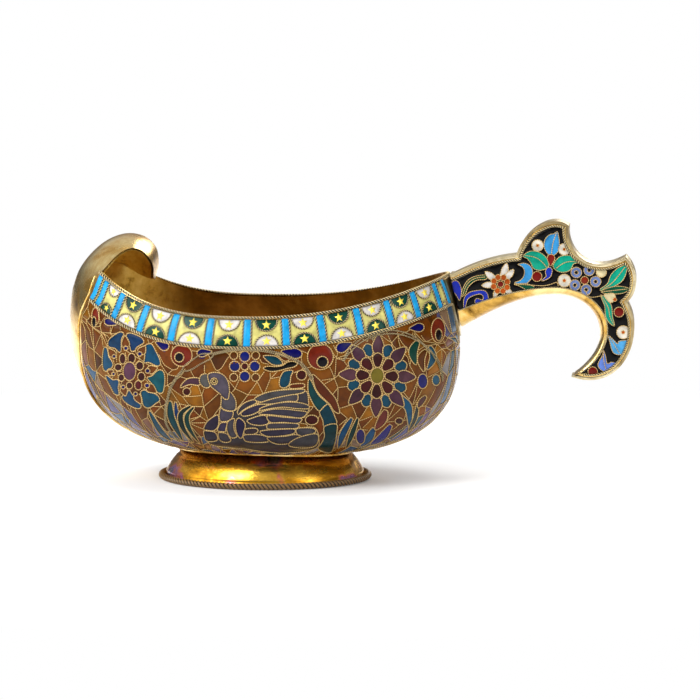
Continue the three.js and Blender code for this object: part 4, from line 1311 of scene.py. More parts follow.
def build_body_enamel(settings):
    chart = body_chart()
    chart.prepare()
    art = body_ornament()
    random = np.random.default_rng(7)
    shards, owners, edges = mosaic(chart.length, chart.height, settings.shard / MM, random)
    fine = settings.fine_wire / MM / 2
    bundle = Bundle()
    wire_points = []

    def lay(line, radius, closed=False):
        points, normals = chart.surface(line, ENAMEL_LIFT)
        bundle.tube(points, normals, radius, closed=closed)
        wire_points.extend(resample(points, WIRE_SAMPLE, closed))

    lines = [resample(edge, EDGE_SAMPLE) for edge in edges]
    joined = np.concatenate(lines)
    keep = np.all((joined > 0) & (joined < (chart.length, chart.height)), axis=1)
    keep &= covered(chart.pixels(joined), art.cells) < 0
    start = 0
    for line in lines:
        for run in clipped_runs(line, keep[start:start + len(line)]):
            lay(run, fine)
        start += len(line)
    outlines = [resample(outline, OUTLINE_SAMPLE, True) for outline, _ in art.cells]
    for run, closed in visible_runs(outlines, art.cells):
        lay(chart.from_pixels(run), fine * MOTIF_WIRE_SHARE, closed)
    heavy = heavy_wires(chart, wire_points)
    points, faces, count, near = enamel_sheet(chart, wire_points, BODY_DIP)
    quads = np.array(faces[:count])
    middle = chart.grid[quads].mean(axis=1)
    colours = shard_colours(chart, middle, shards, owners, random)
    colour_motifs(colours, covered(chart.pixels(middle), art.cells), art.cells)
    # Painted shade: the enamel darkens beside its wires and is a little brighter away from them.
    light = painted_shade_beside(near[quads].mean(axis=1), share=0.5, reach=0.3, whole=1.12)
    colours[:, :3] *= settings.enamel_depth * light
    edge_colour = np.tile(linear("4A3010"), (len(faces) - count, 1))
    colours = np.vstack([colours, edge_colour])
    enamel_on_both_sides(points, faces, colours, "body_cells", "enamel_amber", "body_enamel")
    wires_on_both_sides(bundle, "body_wires", "fine_wire")
    wires_on_both_sides(heavy, "medallion_wires", "wire")


# Rim band
BAR_DEGREES = (34.6, 38.2, 46.4, 56.7, 67.4, 78.7, 89.8, 101.2, 112.0, 124.0, 135.2, 146.7, 159.2, 172.2)
BAR_WIDTH = 2.1
HALF_DISC = 3.15
BAR_RISE = 0.24
BAR_SINK = 0.3
LEAST_HALF_DISC = 0.8
STAR = 1.35
STAR_WAIST = 0.42
STAR_PLACE = 0.46
STAR_RISE = 0.14
STAR_SINK = 0.1
BEAD_LIFT = 0.02
BEAD_GAP = 0.12
DISC_BEADS = (0.54, 1.5)
BAR_BEADS = (0.6, 1.9)


def half_disc(middle, base, up, radius):
    turn = np.linspace(0, math.pi, 15)
    return np.stack([middle + radius * np.cos(turn), base + up * radius * np.sin(turn)], axis=-1)


def add_star(bundle, chart, x, y, size):
    """A star of five points that stands highest in its middle."""
    tips = 10
    turn = np.linspace(0, 2 * math.pi, tips, endpoint=False) + math.pi / 2
    reach = np.where(np.arange(tips) % 2, STAR_WAIST, 1.0) * size
    rim = np.stack([x + reach * np.cos(turn), y + reach * np.sin(turn)], axis=-1)
    flat = np.vstack([[[x, y]], rim])
    rise = np.concatenate([[STAR_RISE], np.full(tips, STAR_RISE / 2)])
    high, _ = chart.surface(flat, ENAMEL_LIFT + rise)
    low, _ = chart.surface(flat, ENAMEL_LIFT - STAR_SINK)
    under = tips + 1
    faces = []
    for step in range(tips):
        here, there = 1 + step, 1 + (step + 1) % tips
        faces.append((0, there, here))
        faces.append((under, under + here, under + there))
        faces.append((here, there, under + there, under + here))
    bundle.add(np.vstack([high, low]), faces)


def add_bar(bundle, chart, mark):
    """A raised bar with a rounded face, across the band."""
    across = np.linspace(-BAR_WIDTH / 2, BAR_WIDTH / 2, 7)
    up = np.linspace(0, chart.height, 13)
    flat = np.stack(np.meshgrid(mark + across, up, indexing="ij"), axis=-1).reshape(-1, 2)
    dome = BAR_RISE * (1 - (np.abs(flat[:, 0] - mark) / (BAR_WIDTH / 2)) ** 4)
    high, _ = chart.surface(flat, ENAMEL_LIFT + dome)
    low, _ = chart.surface(flat, ENAMEL_LIFT - BAR_SINK)
    faces = [tuple(reversed(face)) for face in grid_faces(len(across) - 1, len(up) - 1)]
    bundle.add(np.vstack([high, low]), thick_faces(faces, len(flat)))


def build_rim_band(settings):
    chart = band_chart()
    marks = [min(chart.along_of(degrees), chart.length - BAR_WIDTH / 2) for degrees in BAR_DEGREES]
    marks = [max(mark, BAR_WIDTH / 2) for mark in marks]
    cells = []
    stars = Bundle()
    beads = Bundle()
    bars = Bundle()
    wire_points = []

    def bead_line(line, diameter, pitch):
        points, normals = chart.surface(resample(line, 0.25), ENAMEL_LIFT + BEAD_LIFT)
        beads.twisted(points, normals, diameter, pitch, steps=6)
        wire_points.extend(resample(points, WIRE_SAMPLE))

    for index, (ahead, behind) in enumerate(zip(marks, marks[1:])):
        middle = (ahead + behind) / 2
        room = (ahead - behind - BAR_WIDTH) / 2 - 0.25
        if room < LEAST_HALF_DISC:
            continue
        radius = min(HALF_DISC, room)
        for base, up in ((0.0, 1), (chart.height, -1)):
            white = (index % 2 == 0) == (up > 0)
            outline = half_disc(middle, base, up, radius)
            cells.append((outline, linear("F4EDE6" if white else "0B4A3C")))
            bead_line(outline, *DISC_BEADS)
            add_star(stars, chart, middle, base + up * radius * STAR_PLACE, STAR * radius / HALF_DISC)
    for mark in marks:
        for edge in (-1, 1):
            x = mark + edge * (BAR_WIDTH / 2 + BEAD_GAP)
            if 0 < x < chart.length:
                bead_line([(x, 0), (x, chart.height)], *BAR_BEADS)
        add_bar(bars, chart, mark)
    points, faces, count, near = enamel_sheet(chart, wire_points, BAND_DIP)
    quads = np.array(faces[:count])
    middle = chart.grid[quads].mean(axis=1)
    colours = np.tile(tuple(settings.band_ground), (count, 1))
    colour_motifs(colours, covered(middle, cells), cells)
    up = middle[:, 1] / chart.height
    edge = np.minimum(up, 1 - up) * chart.height
    # Painted shade along the band's upper and lower edges and beside its wires.
    colours[:, :3] *= BAND_DEPTH * painted_shade_beside(edge, share=0.75, reach=0.3)
    colours[:, :3] *= painted_shade_beside(near[quads].mean(axis=1), share=0.6, reach=0.34)
    edge_colour = np.tile(linear("4A3A1A"), (len(faces) - count, 1))
    colours = np.vstack([colours, edge_colour])
    enamel_on_both_sides(points, faces, colours, "band_cells", "enamel_cream", "rim_band")
    wires_on_both_sides(beads, "band_beads", "wire")
    wires_on_both_sides(stars, "band_stars", "star")
    for side, bundle in (("near", bars), ("far", bars.mirror())):
        piece = bundle.build(f"band_bars_{side}")
        paint(piece, np.tile(tuple(settings.bar), (len(piece.data.polygons), 1)))
        finish_piece(piece, MATERIALS["enamel"], "enamel_cream")


# Bowl
def build_bowl():
    """One sheet: the outer face, the rim with its rounded edge, the curled hood and the inner face."""
    hood_edge = math.pi - HOOD_HALF_ANGLE
    first = np.linspace(0, hood_edge, 76)[:-1]
    hood = np.linspace(hood_edge, 2 * math.pi - hood_edge, 61)
    last = np.linspace(2 * math.pi - hood_edge, 2 * math.pi, 76)[1:-1]
    angles = np.concatenate([first, hood, last])
    levels = np.concatenate([np.linspace(0.02, 1, 34), np.linspace(1, 2, 26)[1:]])
    curl_levels = np.linspace(2, 3, 50)[1:-1]
    grid = np.stack(np.meshgrid(angles, levels, indexing="ij"), axis=-1)
    curl = np.stack(np.meshgrid(hood, curl_levels, indexing="ij"), axis=-1)
    rows, count, curl_rows = len(levels), len(angles), len(curl_levels)

    def thickness(level):
        thinned = np.clip((level - THINNING_LEVEL) / (2 - THINNING_LEVEL), 0, 1)
        return mix(BOWL_SHEET, RIM_SHEET, thinned)

    def layer(inward):
        body = lifted(grid[..., 0], grid[..., 1], -inward * thickness(grid[..., 1]))
        fold = lifted(curl[..., 0], curl[..., 1], -inward * thickness(curl[..., 1]))
        pole = lifted(np.array([0.0]), np.array([0.0]), np.array([-inward * BOWL_SHEET]))
        tip = lifted(np.array([math.pi]), np.array([3.0]), np.array([-inward * RIM_SHEET]))
        return np.vstack([pole, tip, body.reshape(-1, 3), fold.reshape(-1, 3)])

    outer = layer(0.0)
    inner = layer(1.0)
    size = len(outer)

    def body_index(column, row):
        return 2 + column % count * rows + row

    def curl_index(column, row):
        if row == 0:
            return body_index(len(first) + column, rows - 1)
        return 2 + count * rows + column * curl_rows + row - 1

    sheet = []
    for column in range(count):
        sheet.append((0, body_index(column, 0), body_index(column + 1, 0)))
        for row in range(rows - 1):
            sheet.append((body_index(column, row), body_index(column, row + 1),
                          body_index(column + 1, row + 1), body_index(column + 1, row)))
    for column in range(len(hood) - 1):
        for row in range(curl_rows):
            sheet.append((curl_index(column, row), curl_index(column, row + 1),
                          curl_index(column + 1, row + 1), curl_index(column + 1, row)))
        sheet.append((curl_index(column, curl_rows), 1, curl_index(column + 1, curl_rows)))
    sheet = [tuple(reversed(face)) if len(face) == 4 or 1 in face else face for face in sheet]
    follow = dict(open_edges(sheet))
    loop = [next(iter(follow))]
    while follow[loop[-1]] != loop[0]:
        loop.append(follow[loop[-1]])
    middle = (outer[loop] + inner[loop]) / 2
    across = outer[loop] - middle
    tangent = unit(np.roll(middle, -1, axis=0) - np.roll(middle, 1, axis=0))
    outward = unit(np.cross(across, tangent)) * np.linalg.norm(across, axis=1)[:, None]
    turns = np.array([0.25, 0.5, 0.75]) * math.pi
    arcs = [middle + across * math.cos(turn) + outward * math.sin(turn) for turn in turns]
    total = len(loop)
    lanes = [list(loop)]
    lanes += [[2 * size + lane * total + place for place in range(total)] for lane in range(len(turns))]
    lanes += [[index + size for index in loop]]
    faces = sheet + [tuple(index + size for index in reversed(face)) for face in sheet]
    for lane, beyond in zip(lanes, lanes[1:]):
        for place in range(total):
            after = (place + 1) % total
            faces.append((lane[after], lane[place], beyond[place], beyond[after]))
    piece = make_mesh("bowl_sheet", np.vstack([outer, inner, *arcs]), faces)
    piece.data.materials.append(MATERIALS["gilt"])
    piece.data.materials.append(MATERIALS["inner_gilt"])
    slots = np.zeros(len(faces), np.int32)
    slots[len(sheet):2 * len(sheet)] = 1
    piece.data.polygons.foreach_set("material_index", slots)
    turn_outwards(piece)
    finish_piece(piece, None, "silver_gilt", "bowl")


def turn_outwards(piece):
    """Turns the faces of a closed piece outwards."""
    work = bmesh.new()
    work.from_mesh(piece.data)
    bmesh.ops.recalc_face_normals(work, faces=work.faces)
    if work.calc_volume(signed=True) < 0:
        bmesh.ops.reverse_faces(work, faces=work.faces)
    work.to_mesh(piece.data)
    work.free()


def select_only(piece):
    bpy.ops.object.select_all(action="DESELECT")
    piece.select_set(True)
    bpy.context.view_layer.objects.active = piece


def smooth_by_angle(piece, degrees):
    select_only(piece)
    bpy.ops.object.shade_smooth_by_angle(angle=math.radians(degrees))


def wire_line(turn, level, diameter):
    """The middle of a wire that lies on the bowl, and the bowl's normals beside it."""
    lift = np.full(len(turn), SEAT_CLEARANCE + diameter / 2)
    return lifted(turn, level, lift), shell_normal(turn, level)


def build_rim_wire(pitch):
    turn = np.linspace(math.pi + HOOD_HALF_ANGLE, math.pi * 3 - HOOD_HALF_ANGLE, 300) % (2 * math.pi)
    level = level_of_height(turn, shell_point(turn, 2.0)[..., 2] - BOWL_WIRE_DIAMETER / 2)
    rim = Bundle()
    rim.twisted(*wire_line(turn, level, BOWL_WIRE_DIAMETER), BOWL_WIRE_DIAMETER, pitch)
    finish_piece(rim.build("rim_twist"), MATERIALS["wire"], "gilt_wire", "rim_wire")


def build_band_wires(pitch):
    share = np.linspace(0, 1, 220)
    angle = np.full(share.shape, math.pi / 2)
    for _ in range(4):
        low, high = field_ends(band_level(angle))
        angle = mix(low, high - angle_of_width(PROW_WIRE_DIAMETER), share)
    level = band_level(angle)
    band = Bundle()
    band.twisted(*wire_line(2 * math.pi - angle, level, BOWL_WIRE_DIAMETER), BOWL_WIRE_DIAMETER, pitch)
    wires_on_both_sides(band, "band_twist", "wire", "band_wire")


def build_prow_wires():
    level = np.linspace(FIELD_FOOT_LEVEL, PROW_WIRE_TOP_LEVEL, 120)
    angle = math.pi + prow_bare_angle(level) - angle_of_width(PROW_WIRE_DIAMETER)
    prow = Bundle()
    prow.tube(*wire_line(angle, level, PROW_WIRE_DIAMETER), PROW_WIRE_DIAMETER / 2, sides=8)
    wires_on_both_sides(prow, "prow_edge", "gilt", "prow_wire")


def build_trim_wires(settings):
    pitch = settings.twist_pitch / MM
    build_rim_wire(pitch)
    build_band_wires(pitch)
    build_prow_wires()


# Foot
FOOT_HALF_LENGTH = 30.5
FOOT_BEAM_SHARE = 0.87
NECK_HALF_LENGTH = 26.0
FOOT_WALL = 1.2
FLANGE_HEIGHT = 0.9
FLANGE_REACH = 0.4
FLANGE_ROUND = 0.43
FOOT_CLEARANCE = 0.1
COLLAR_OUT = 0.35
COLLAR_DROP = 0.5
COLLAR_RADIUS = 0.45
ROPE_DIAMETER = 2.0
ROPE_PITCH = 3.9
ROPE_LIFT = 0.1
COVE_SHARES = np.array([(0, 1), (0.2, 0.98), (0.5, 0.77), (0.83, 0.46), (1, 0.25)])


def underside(x, y):
    """The height of the bowl's outer face above points of the ground."""
    length = np.where(x > 0, HALF_LENGTH_HANDLE, HALF_LENGTH_PROW)
    angle = np.arctan2(y / HALF_BEAM, x / length)
    reach = np.hypot(x / length, y / HALF_BEAM)
    low = np.zeros(len(x))
    high = np.ones(len(x))
    for _ in range(30):
        middle = (low + high) / 2
        point = shell_point(angle, middle)
        short = np.hypot(point[:, 0] / length, point[:, 1] / HALF_BEAM) < reach
        low = np.where(short, middle, low)
        high = np.where(short, high, middle)
    return shell_point(angle, low)[:, 2]


def oval(reach, turn, height):
    """A ring of the foot's oval, and its points' heights: a number, or what the bowl leaves below it."""
    x = reach * np.cos(turn)
    y = reach * FOOT_BEAM_SHARE * np.sin(turn)
    z = underside(x, y) - FOOT_CLEARANCE if height is None else np.full(len(turn), height)
    return np.stack([x, y, z], axis=-1)


def build_foot_ring():
    """The foot's flared sheet, with a rounded edge at the flange."""
    columns = 180
    turn = np.linspace(0, 2 * math.pi, columns, endpoint=False)
    edge = FOOT_HALF_LENGTH - FLANGE_REACH
    curve = spline_through(COVE_SHARES, np.linspace(0, 1, 17))

    def wall(inward):
        rings = []
        for out, up in curve:
            height = mix(FLANGE_HEIGHT, BOTTOM_HEIGHT, up) - inward / 2
            reach = mix(NECK_HALF_LENGTH, edge, out) - inward
            rings.append(oval(reach, turn, None if out == 0 else height))
        return rings

    centre = FLANGE_HEIGHT / 2
    rings = wall(0.0)
    for angle in np.linspace(math.pi / 2, -math.pi / 2, 7):
        out = FLANGE_REACH * (math.cos(angle) - 0.5)
        rings.append(oval(edge + out, turn, centre + FLANGE_ROUND * math.sin(angle)))
    rings.append(oval(edge - FOOT_WALL, turn, centre - FLANGE_ROUND))
    rings += wall(FOOT_WALL)[::-1][1:]
    count = len(rings)
    faces = []
    for row in range(count):
        here, beyond = row * columns, (row + 1) % count * columns
        for column in range(columns):
            after = (column + 1) % columns
            faces.append((here + column, here + after, beyond + after, beyond + column))
    piece = make_mesh("foot_ring", np.concatenate(rings), faces)
    turn_outwards(piece)
    finish_piece(piece, MATERIALS["foot_gilt"], "silver_gilt", "foot")


def build_foot_rope():
    """Three strands laid round each other, all round the flange."""
    reach_x = FOOT_HALF_LENGTH + ROPE_DIAMETER / 2
    reach_y = FOOT_HALF_LENGTH * FOOT_BEAM_SHARE + ROPE_DIAMETER / 2
    turn = np.linspace(0, 2 * math.pi, 720, endpoint=False)
    height = np.full(len(turn), ROPE_LIFT + ROPE_DIAMETER / 2)
    line = np.stack([reach_x * np.cos(turn), reach_y * np.sin(turn), height], axis=-1)
    normals = unit(np.stack([np.cos(turn) / reach_x, np.sin(turn) / reach_y, 0 * turn], axis=-1))
    rope = Bundle()
    rope.twisted(line, normals, ROPE_DIAMETER * 0.97, ROPE_PITCH, closed=True, strands=3, sides=8, steps=20)
    finish_piece(rope.build("foot_rope_strands"), MATERIALS["rope"], "gilt_wire", "foot_rope")


def build_foot_collar():
    """A plain ring that hides the joint between foot and bowl."""
    turn = np.linspace(0, 2 * math.pi, 240, endpoint=False)
    line = oval(NECK_HALF_LENGTH + COLLAR_OUT, turn, 0.0)
    line[:, 2] = underside(line[:, 0], line[:, 1]) - COLLAR_DROP
    collar = Bundle()
    collar.tube(line, np.tile((0, 0, 1.0), (len(line), 1)), COLLAR_RADIUS, 8, True)
    finish_piece(collar.build("foot_collar"), MATERIALS["gilt"], "silver_gilt")


def build_foot():
    build_foot_ring()
    build_foot_rope()
    build_foot_collar()


# Handle
HANDLE_START_OUT = 1.1
HANDLE_REACH = 56.0
HANDLE_LOW_HEIGHT = 31.3
HANDLE_RISE = 48.1
HALF_WIDTH = 6.0
EDGE_WALL = 0.9
PLATE_THICKNESS = 0.7
PLATE_FACE = 5.9
PLATE_GAP = 0.05
HANDLE_FACE = 6.25
HANDLE_DIP = 0.08
ENAMEL_SINK = 0.1
FLAT_STEP = 0.5
FLAT_SAMPLE = 0.4
GROUND_INSET = 1.85
GRIP_MARGIN = 0.3
WIRE_INSET = 1.5
HANDLE_WIRE = 0.7
LOW_WIRE = 0.45
TWIST_LIFT = 0.3
TWIST_SHARE = 2.1
GRIP_END_SHARE = 0.975
GRIP_BULGE_POWER = 0.7
SEAT_FACE = 1.2
SEAT_SINK = 0.1
ROOT_GAP = 0.3
OUTER_SHARES = (
    ((0, 0.644), (0.107, 0.713), (0.232, 0.767), (0.364, 0.782)),
    ((0.364, 0.782), (0.402, 0.94), (0.554, 1.05), (0.645, 0.967)),
    ((0.645, 0.967), (0.625, 0.815), (0.75, 0.642), (0.948, 0.778)),
    ((0.948, 0.778), (1.011, 0.711), (1.029, 0.572), (0.957, 0.493)),
    ((0.957, 0.493), (1.063, 0.306), (0.946, -0.089), (0.661, 0.025)),
)
GRIP_SHARES = (
    ((0.661, 0.021), (0.732, 0.087), (0.807, 0.17), (0.811, 0.285)),
    ((0.811, 0.285), (0.813, 0.42), (0.723, 0.53), (0.571, 0.53)),
    ((0.571, 0.53), (0.393, 0.53), (0.223, 0.43), (0, 0.27)),
)
GROUND_EDGE_SHARES = (
    ((0.661, 0.025), (0.75, 0.067), (0.845, 0.17), (0.852, 0.306)),
    ((0.852, 0.306), (0.857, 0.441), (0.759, 0.565), (0.589, 0.58)),
    ((0.589, 0.58), (0.393, 0.58), (0.196, 0.503), (0, 0.4)),
)


def handle_path(shares, steps=26):
    """The run of a chain of cubic curves, whose points are shares of the handle's reach and rise."""
    start = float(shell_point(0.0, 2.0)[0]) + HANDLE_START_OUT
    points = []
    for curve in shares:
        first, leave, arrive, last = np.array([
            (start + x * HANDLE_REACH, HANDLE_LOW_HEIGHT + z * HANDLE_RISE) for x, z in curve])
        share = np.linspace(0, 1, steps + 1)[(1 if points else 0):, None]
        rest = 1 - share
        ends = rest ** 3 * first + share ** 3 * last
        points.append(ends + 3 * rest ** 2 * share * leave + 3 * rest * share ** 2 * arrive)
    return np.vstack(points)


def root_x(height):
    top = float(shell_point(0.0, 2.0)[2])
    level = float(level_of_height(np.array(0.0), min(height, top)))
    face = max(SEAT_FACE, SEAT_CLEARANCE + BOWL_WIRE_DIAMETER) + ROOT_GAP
    return float(lifted(np.array([0.0]), np.array([max(level, 1.0)]), face)[0, 0])


def distance_to_run(point, run):
    start, end = run[:-1], run[1:]
    along = end - start
    lengths = np.maximum(np.sum(along ** 2, axis=1), 1e-12)
    share = np.clip(np.sum((point - start) * along, axis=1) / lengths, 0, 1)
    return np.min(np.linalg.norm(start + along * share[:, None] - point, axis=1))


def beside(run, distance):
    """A run moved sideways, to the right of its direction where positive."""
    tangent = unit(np.diff(run, axis=0))
    arrive = np.vstack([tangent[:1], tangent])
    leave = np.vstack([tangent, tangent[-1:]])
    normal = np.stack([arrive[:, 1], -arrive[:, 0]], axis=-1)
    other = np.stack([leave[:, 1], -leave[:, 0]], axis=-1)
    miter = unit(normal + other)
    scale = np.maximum(np.sum(miter * normal, axis=1), 0.4)[:, None]
    moved = run + miter * distance / scale
    return np.array([point for point in moved if distance_to_run(point, run) > abs(distance) * 0.985])


def from_root(run):
    clear = np.array([point for point in run if point[0] > root_x(point[1]) + ROOT_GAP])
    return np.vstack([[(root_x(clear[0, 1]), clear[0, 1])], clear])


def slab(name, outline, near_y, far_y, bevel):
    """A flat piece from its outline in the handle's plane, with its edges softened."""
    order = outline if signed_area(outline) > 0 else outline[::-1]
    points = [(x, near_y, z) for x, z in order]
    piece = make_mesh(name, points, [tuple(range(len(points)))], smooth=False)
    select_only(piece)
    bpy.ops.object.mode_set(mode="EDIT")
    bpy.ops.mesh.select_all(action="SELECT")
    thickness = (0, (far_y - near_y) * MM, 0)
    bpy.ops.mesh.extrude_region_move(TRANSFORM_OT_translate={"value": thickness})
    bpy.ops.mesh.select_all(action="SELECT")
    bpy.ops.mesh.normals_make_consistent(inside=False)
    bpy.ops.object.mode_set(mode="OBJECT")
    rounding = piece.modifiers.new("edges", "BEVEL")
    rounding.width = bevel * MM
    rounding.segments = 2
    rounding.limit_method = "ANGLE"
    rounding.angle_limit = math.radians(60)
    bpy.ops.object.modifier_apply(modifier=rounding.name)
    smooth_by_angle(piece, 35)
    return piece


def signed_area(outline):
    x, z = outline[:, 0], outline[:, 1]
    return float(np.sum(x * np.roll(z, -1) - np.roll(x, -1) * z) / 2)


def handle_runs():
    outer = from_root(handle_path(OUTER_SHARES))
    grip = handle_path(GRIP_SHARES)[::-1]
    ground = handle_path(GROUND_EDGE_SHARES)[::-1]
    return outer, from_root(grip), from_root(ground)


def on_plane(pixels, depth):
    """Where rays through pixels meet a plane of the handle's side, as X and Z."""
    right, up, back = camera_axes()
    eye = np.array([AIM_X, 0, AIM_Z]) + CAMERA_DISTANCE * back
    pixels = np.asarray(pixels, float)
    rays = (-back[None, :] * FOCAL_PIXELS + (pixels[:, :1] - IMAGE_SIZE / 2) * right
            - (pixels[:, 1:] - IMAGE_SIZE / 2) * up)
    reach = (depth - eye[1]) / rays[:, 1]
    hit = eye + rays * reach[:, None]
    return hit[:, [0, 2]]


HANDLE_SHAPES = (
    ("2233B8", (452.3, 281.6), (457.5, 281.1), (460.9, 287.2), (461.3, 294), (459.6, 300.6), (456.6, 295.8),
     (453.2, 290.6), (452, 285.4)),
    ("075A3E", (461.3, 296.6), (462.7, 288.9), (467.8, 280.3), (476.4, 276), (486.8, 275.1), (485.9, 279.4),
     (476.4, 280.3), (468.7, 286.3), (465.2, 294)),
    ("2038C0", (463.5, 304.4), (464.4, 297.5), (469.5, 292.3), (478.2, 290.3), (485, 290.9), (488.1, 295.8),
     (487.6, 301.8), (483.3, 305.6), (478.2, 305.2), (474.7, 301.8), (476.4, 298.4), (479.9, 299.2),
     (482.5, 300.1), (483.3, 296.6), (479.9, 294), (473, 295.8), (467.8, 299.2), (466.1, 304.4),
     (464, 308.7)),
    ("3FA4E8", (517.8, 264.4), (524.7, 263.1), (530.7, 266.5), (532.7, 272.5), (530.7, 279.4), (524.7, 284.1),
     (514.3, 282.9), (520.3, 280.3), (523.8, 276), (524.3, 269.9), (521.6, 266.2)),
    ("075A3E", (514.3, 284.6), (524.7, 283.4), (533.3, 286.3), (535, 288.9), (529.8, 291.5), (524.7, 288.9),
     (517.8, 285.4)),
    ("1F3FCC", (547.9, 267.4), (551.3, 268.2), (552.2, 271.7), (549.6, 277.7), (541.9, 281.1), (542.7, 279.4),
     (546.2, 276), (545.3, 271.7)),
    ("3FA4E8", (557.4, 231.7), (553.9, 233.8), (549.6, 234.6), (545.3, 238.9), (543.9, 245.8), (546.2, 251.9),
     (549.6, 255.3), (553.9, 255.3), (558.2, 251), (559.4, 244.1), (558.8, 237.2)),
    ("0BAE8E", (522.9, 256.2), (528.1, 251.9), (535, 251), (541.9, 253.6), (547, 258.7), (548.8, 265.1),
     (545.3, 269.1), (538.4, 270.3), (533.3, 268.2), (530.7, 263.1), (527.2, 258.7)),
    ("0BAE8E", (579.8, 262.2), (573.7, 257), (566.8, 255.3), (559.1, 257), (553.1, 265.1), (555.6, 269.9),
     (560.8, 272.2), (566.8, 271.7), (571.1, 269.1), (573.7, 263.9)),
    ("0BAE8E", (600.4, 288.9), (607.3, 283.7), (610.8, 275.1), (617.6, 268.2), (626.3, 265.1), (626.6, 271.7),
     (622.8, 280.3), (615.9, 285.4), (607.3, 288.9), (601.3, 290.9)),
    ("075A3E", (601.3, 290.9), (610.8, 287.2), (621.1, 286.3), (629.3, 288.9), (622.8, 293.2), (612.5, 294),
     (603.9, 293.2)),
    ("0BAE8E", (600.9, 294.9), (606.5, 298.4), (611.6, 306.1), (612.5, 316.4), (614.5, 325.9), (609, 322.5),
     (605.6, 316.4), (604.7, 306.1), (602.2, 300.1)),
    ("5AB4F0", (608.2, 335.4), (612.5, 338.8), (617.6, 344), (618.5, 341.4), (622.8, 340.5), (630.6, 340),
     (626.3, 344), (623.7, 350.9), (620.2, 354.7), (614.2, 353.5), (611.6, 349.2), (609.9, 342.3)),
    ("6C8FE8", (603.5, 350.4), (605.6, 356), (607.3, 363.8), (611.6, 362.1), (618.5, 363.8), (612.5, 366.4),
     (607.3, 371.5), (601.3, 370.2), (597.8, 365.5), (599.6, 360.3), (602.2, 356)),
    ("075A3E", (581, 380.5), (588, 378.5), (597, 377), (592, 382.5), (585, 384)),
    ("8FA6E0", (571.5, 377), (576, 373.5), (580, 377.5), (577, 382), (573, 381.5)),
)
HANDLE_DISCS = (
    ("7A1208", 537, 276.5, 5, None, 0), ("F7EEDC", 537.6, 245.5, 5.8, "D0591C", 1.6),
    ("F7EEDC", 564.3, 249.3, 6, "D0591C", 1.6), ("F7EEDC", 564.3, 280.6, 6.5, "D0591C", 1.8),
    ("F7EEDC", 623.2, 332.3, 6.6, "D0591C", 1.8), ("F3E2B0", 601.3, 272.2, 5.2, None, 0),
    ("7A90C8", 576.3, 272.5, 5.4, "141414", 2), ("7A90C8", 589.2, 270.3, 5.4, "141414", 2),
    ("7A90C8", 595.6, 281.6, 5.4, "141414", 2), ("7A90C8", 586.1, 289.7, 5.4, "141414", 2),
    ("7A90C8", 574.9, 285.1, 5.4, "141414", 2), ("8A2A12", 584.6, 280.3, 3.9, None, 0),
    ("7A1208", 619, 312.1, 5, None, 0), ("7A1208", 592.7, 371.5, 4.8, None, 0),
)
FLOWER_MIDDLE = (500.5, 284.2)
FLOWER_RING = 7.2
FLOWER_PETALS = ((73, 22), (48, 20), (-42, 17), (-117, 15), (184, 19), (141, 20))
FLOWER_PETAL = ((0.5, -17), (0.75, -12), (1, 0), (0.75, 11), (0.5, 17))
HANDLE_DROPS = (("8A1A10", 550.5, 266, 551.3, 254.4, 8), ("F3E2B0", 603.9, 294.9, 615.2, 299.4, 10))
HANDLE_DOTS = (("D0591C", 614.8, 299.5, 2),)
HANDLE_LINES = (
    ((556.5, 233), (553, 243), (551.5, 254)),
    ((524.5, 255.5), (534, 257), (541, 261), (546.5, 267)),
    ((578.5, 262), (570, 261.5), (563, 263.5), (556, 268.5)),
    ((514, 284), (530, 285), (545, 285.6), (557, 282)), ((602.5, 289.5), (612, 283), (619, 275), (625, 267)),
    ((602, 291.8), (613, 290.5), (627, 289)), ((601.5, 295.8), (608, 307), (610, 317), (614, 325)),
    ((609.5, 337), (615, 346), (619.5, 353.5)), ((603.3, 352), (604, 362), (606.5, 370.5)),
    ((462.5, 295.5), (467, 284.5), (475, 278.5), (485.5, 277)),
    ((585, 290.5), (590, 297), (600.5, 296)), ((564.3, 287), (560, 289), (557, 282)),
)


def handle_ornament():
    """Flowers, leaves and scrolls on the handle's side, in the photograph's pixels."""
    art = Ornament()
    art.shapes(HANDLE_SHAPES)
    x, y = FLOWER_MIDDLE
    for turn, length in FLOWER_PETALS:
        outline = [(6, -30), *((length * share, angle) for share, angle in FLOWER_PETAL), (6, 30)]
        art.cell(around(FLOWER_MIDDLE, (1, 1), turn, outline), "F7F0E6")
    for turn in range(8):
        angle = math.radians(turn * 45 + 20)
        ring_x, ring_y = x + FLOWER_RING * math.cos(angle), y - FLOWER_RING * math.sin(angle)
        art.cell(disc(ring_x, ring_y, 2.9, 3.1, steps=12), "CC5A14")
    art.cell(disc(x, y, 3.2), "7A1208")
    for colour, x, y, radius, heart, inner in HANDLE_DISCS:
        art.cell(disc(x, y, radius), colour)
        if heart:
            art.cell(disc(x, y, inner, steps=12), heart)
    art.drops(HANDLE_DROPS)
    art.discs(HANDLE_DOTS, steps=12)
    art.wires = [rounded(line, 6, closed=False) for line in HANDLE_LINES]
    return art


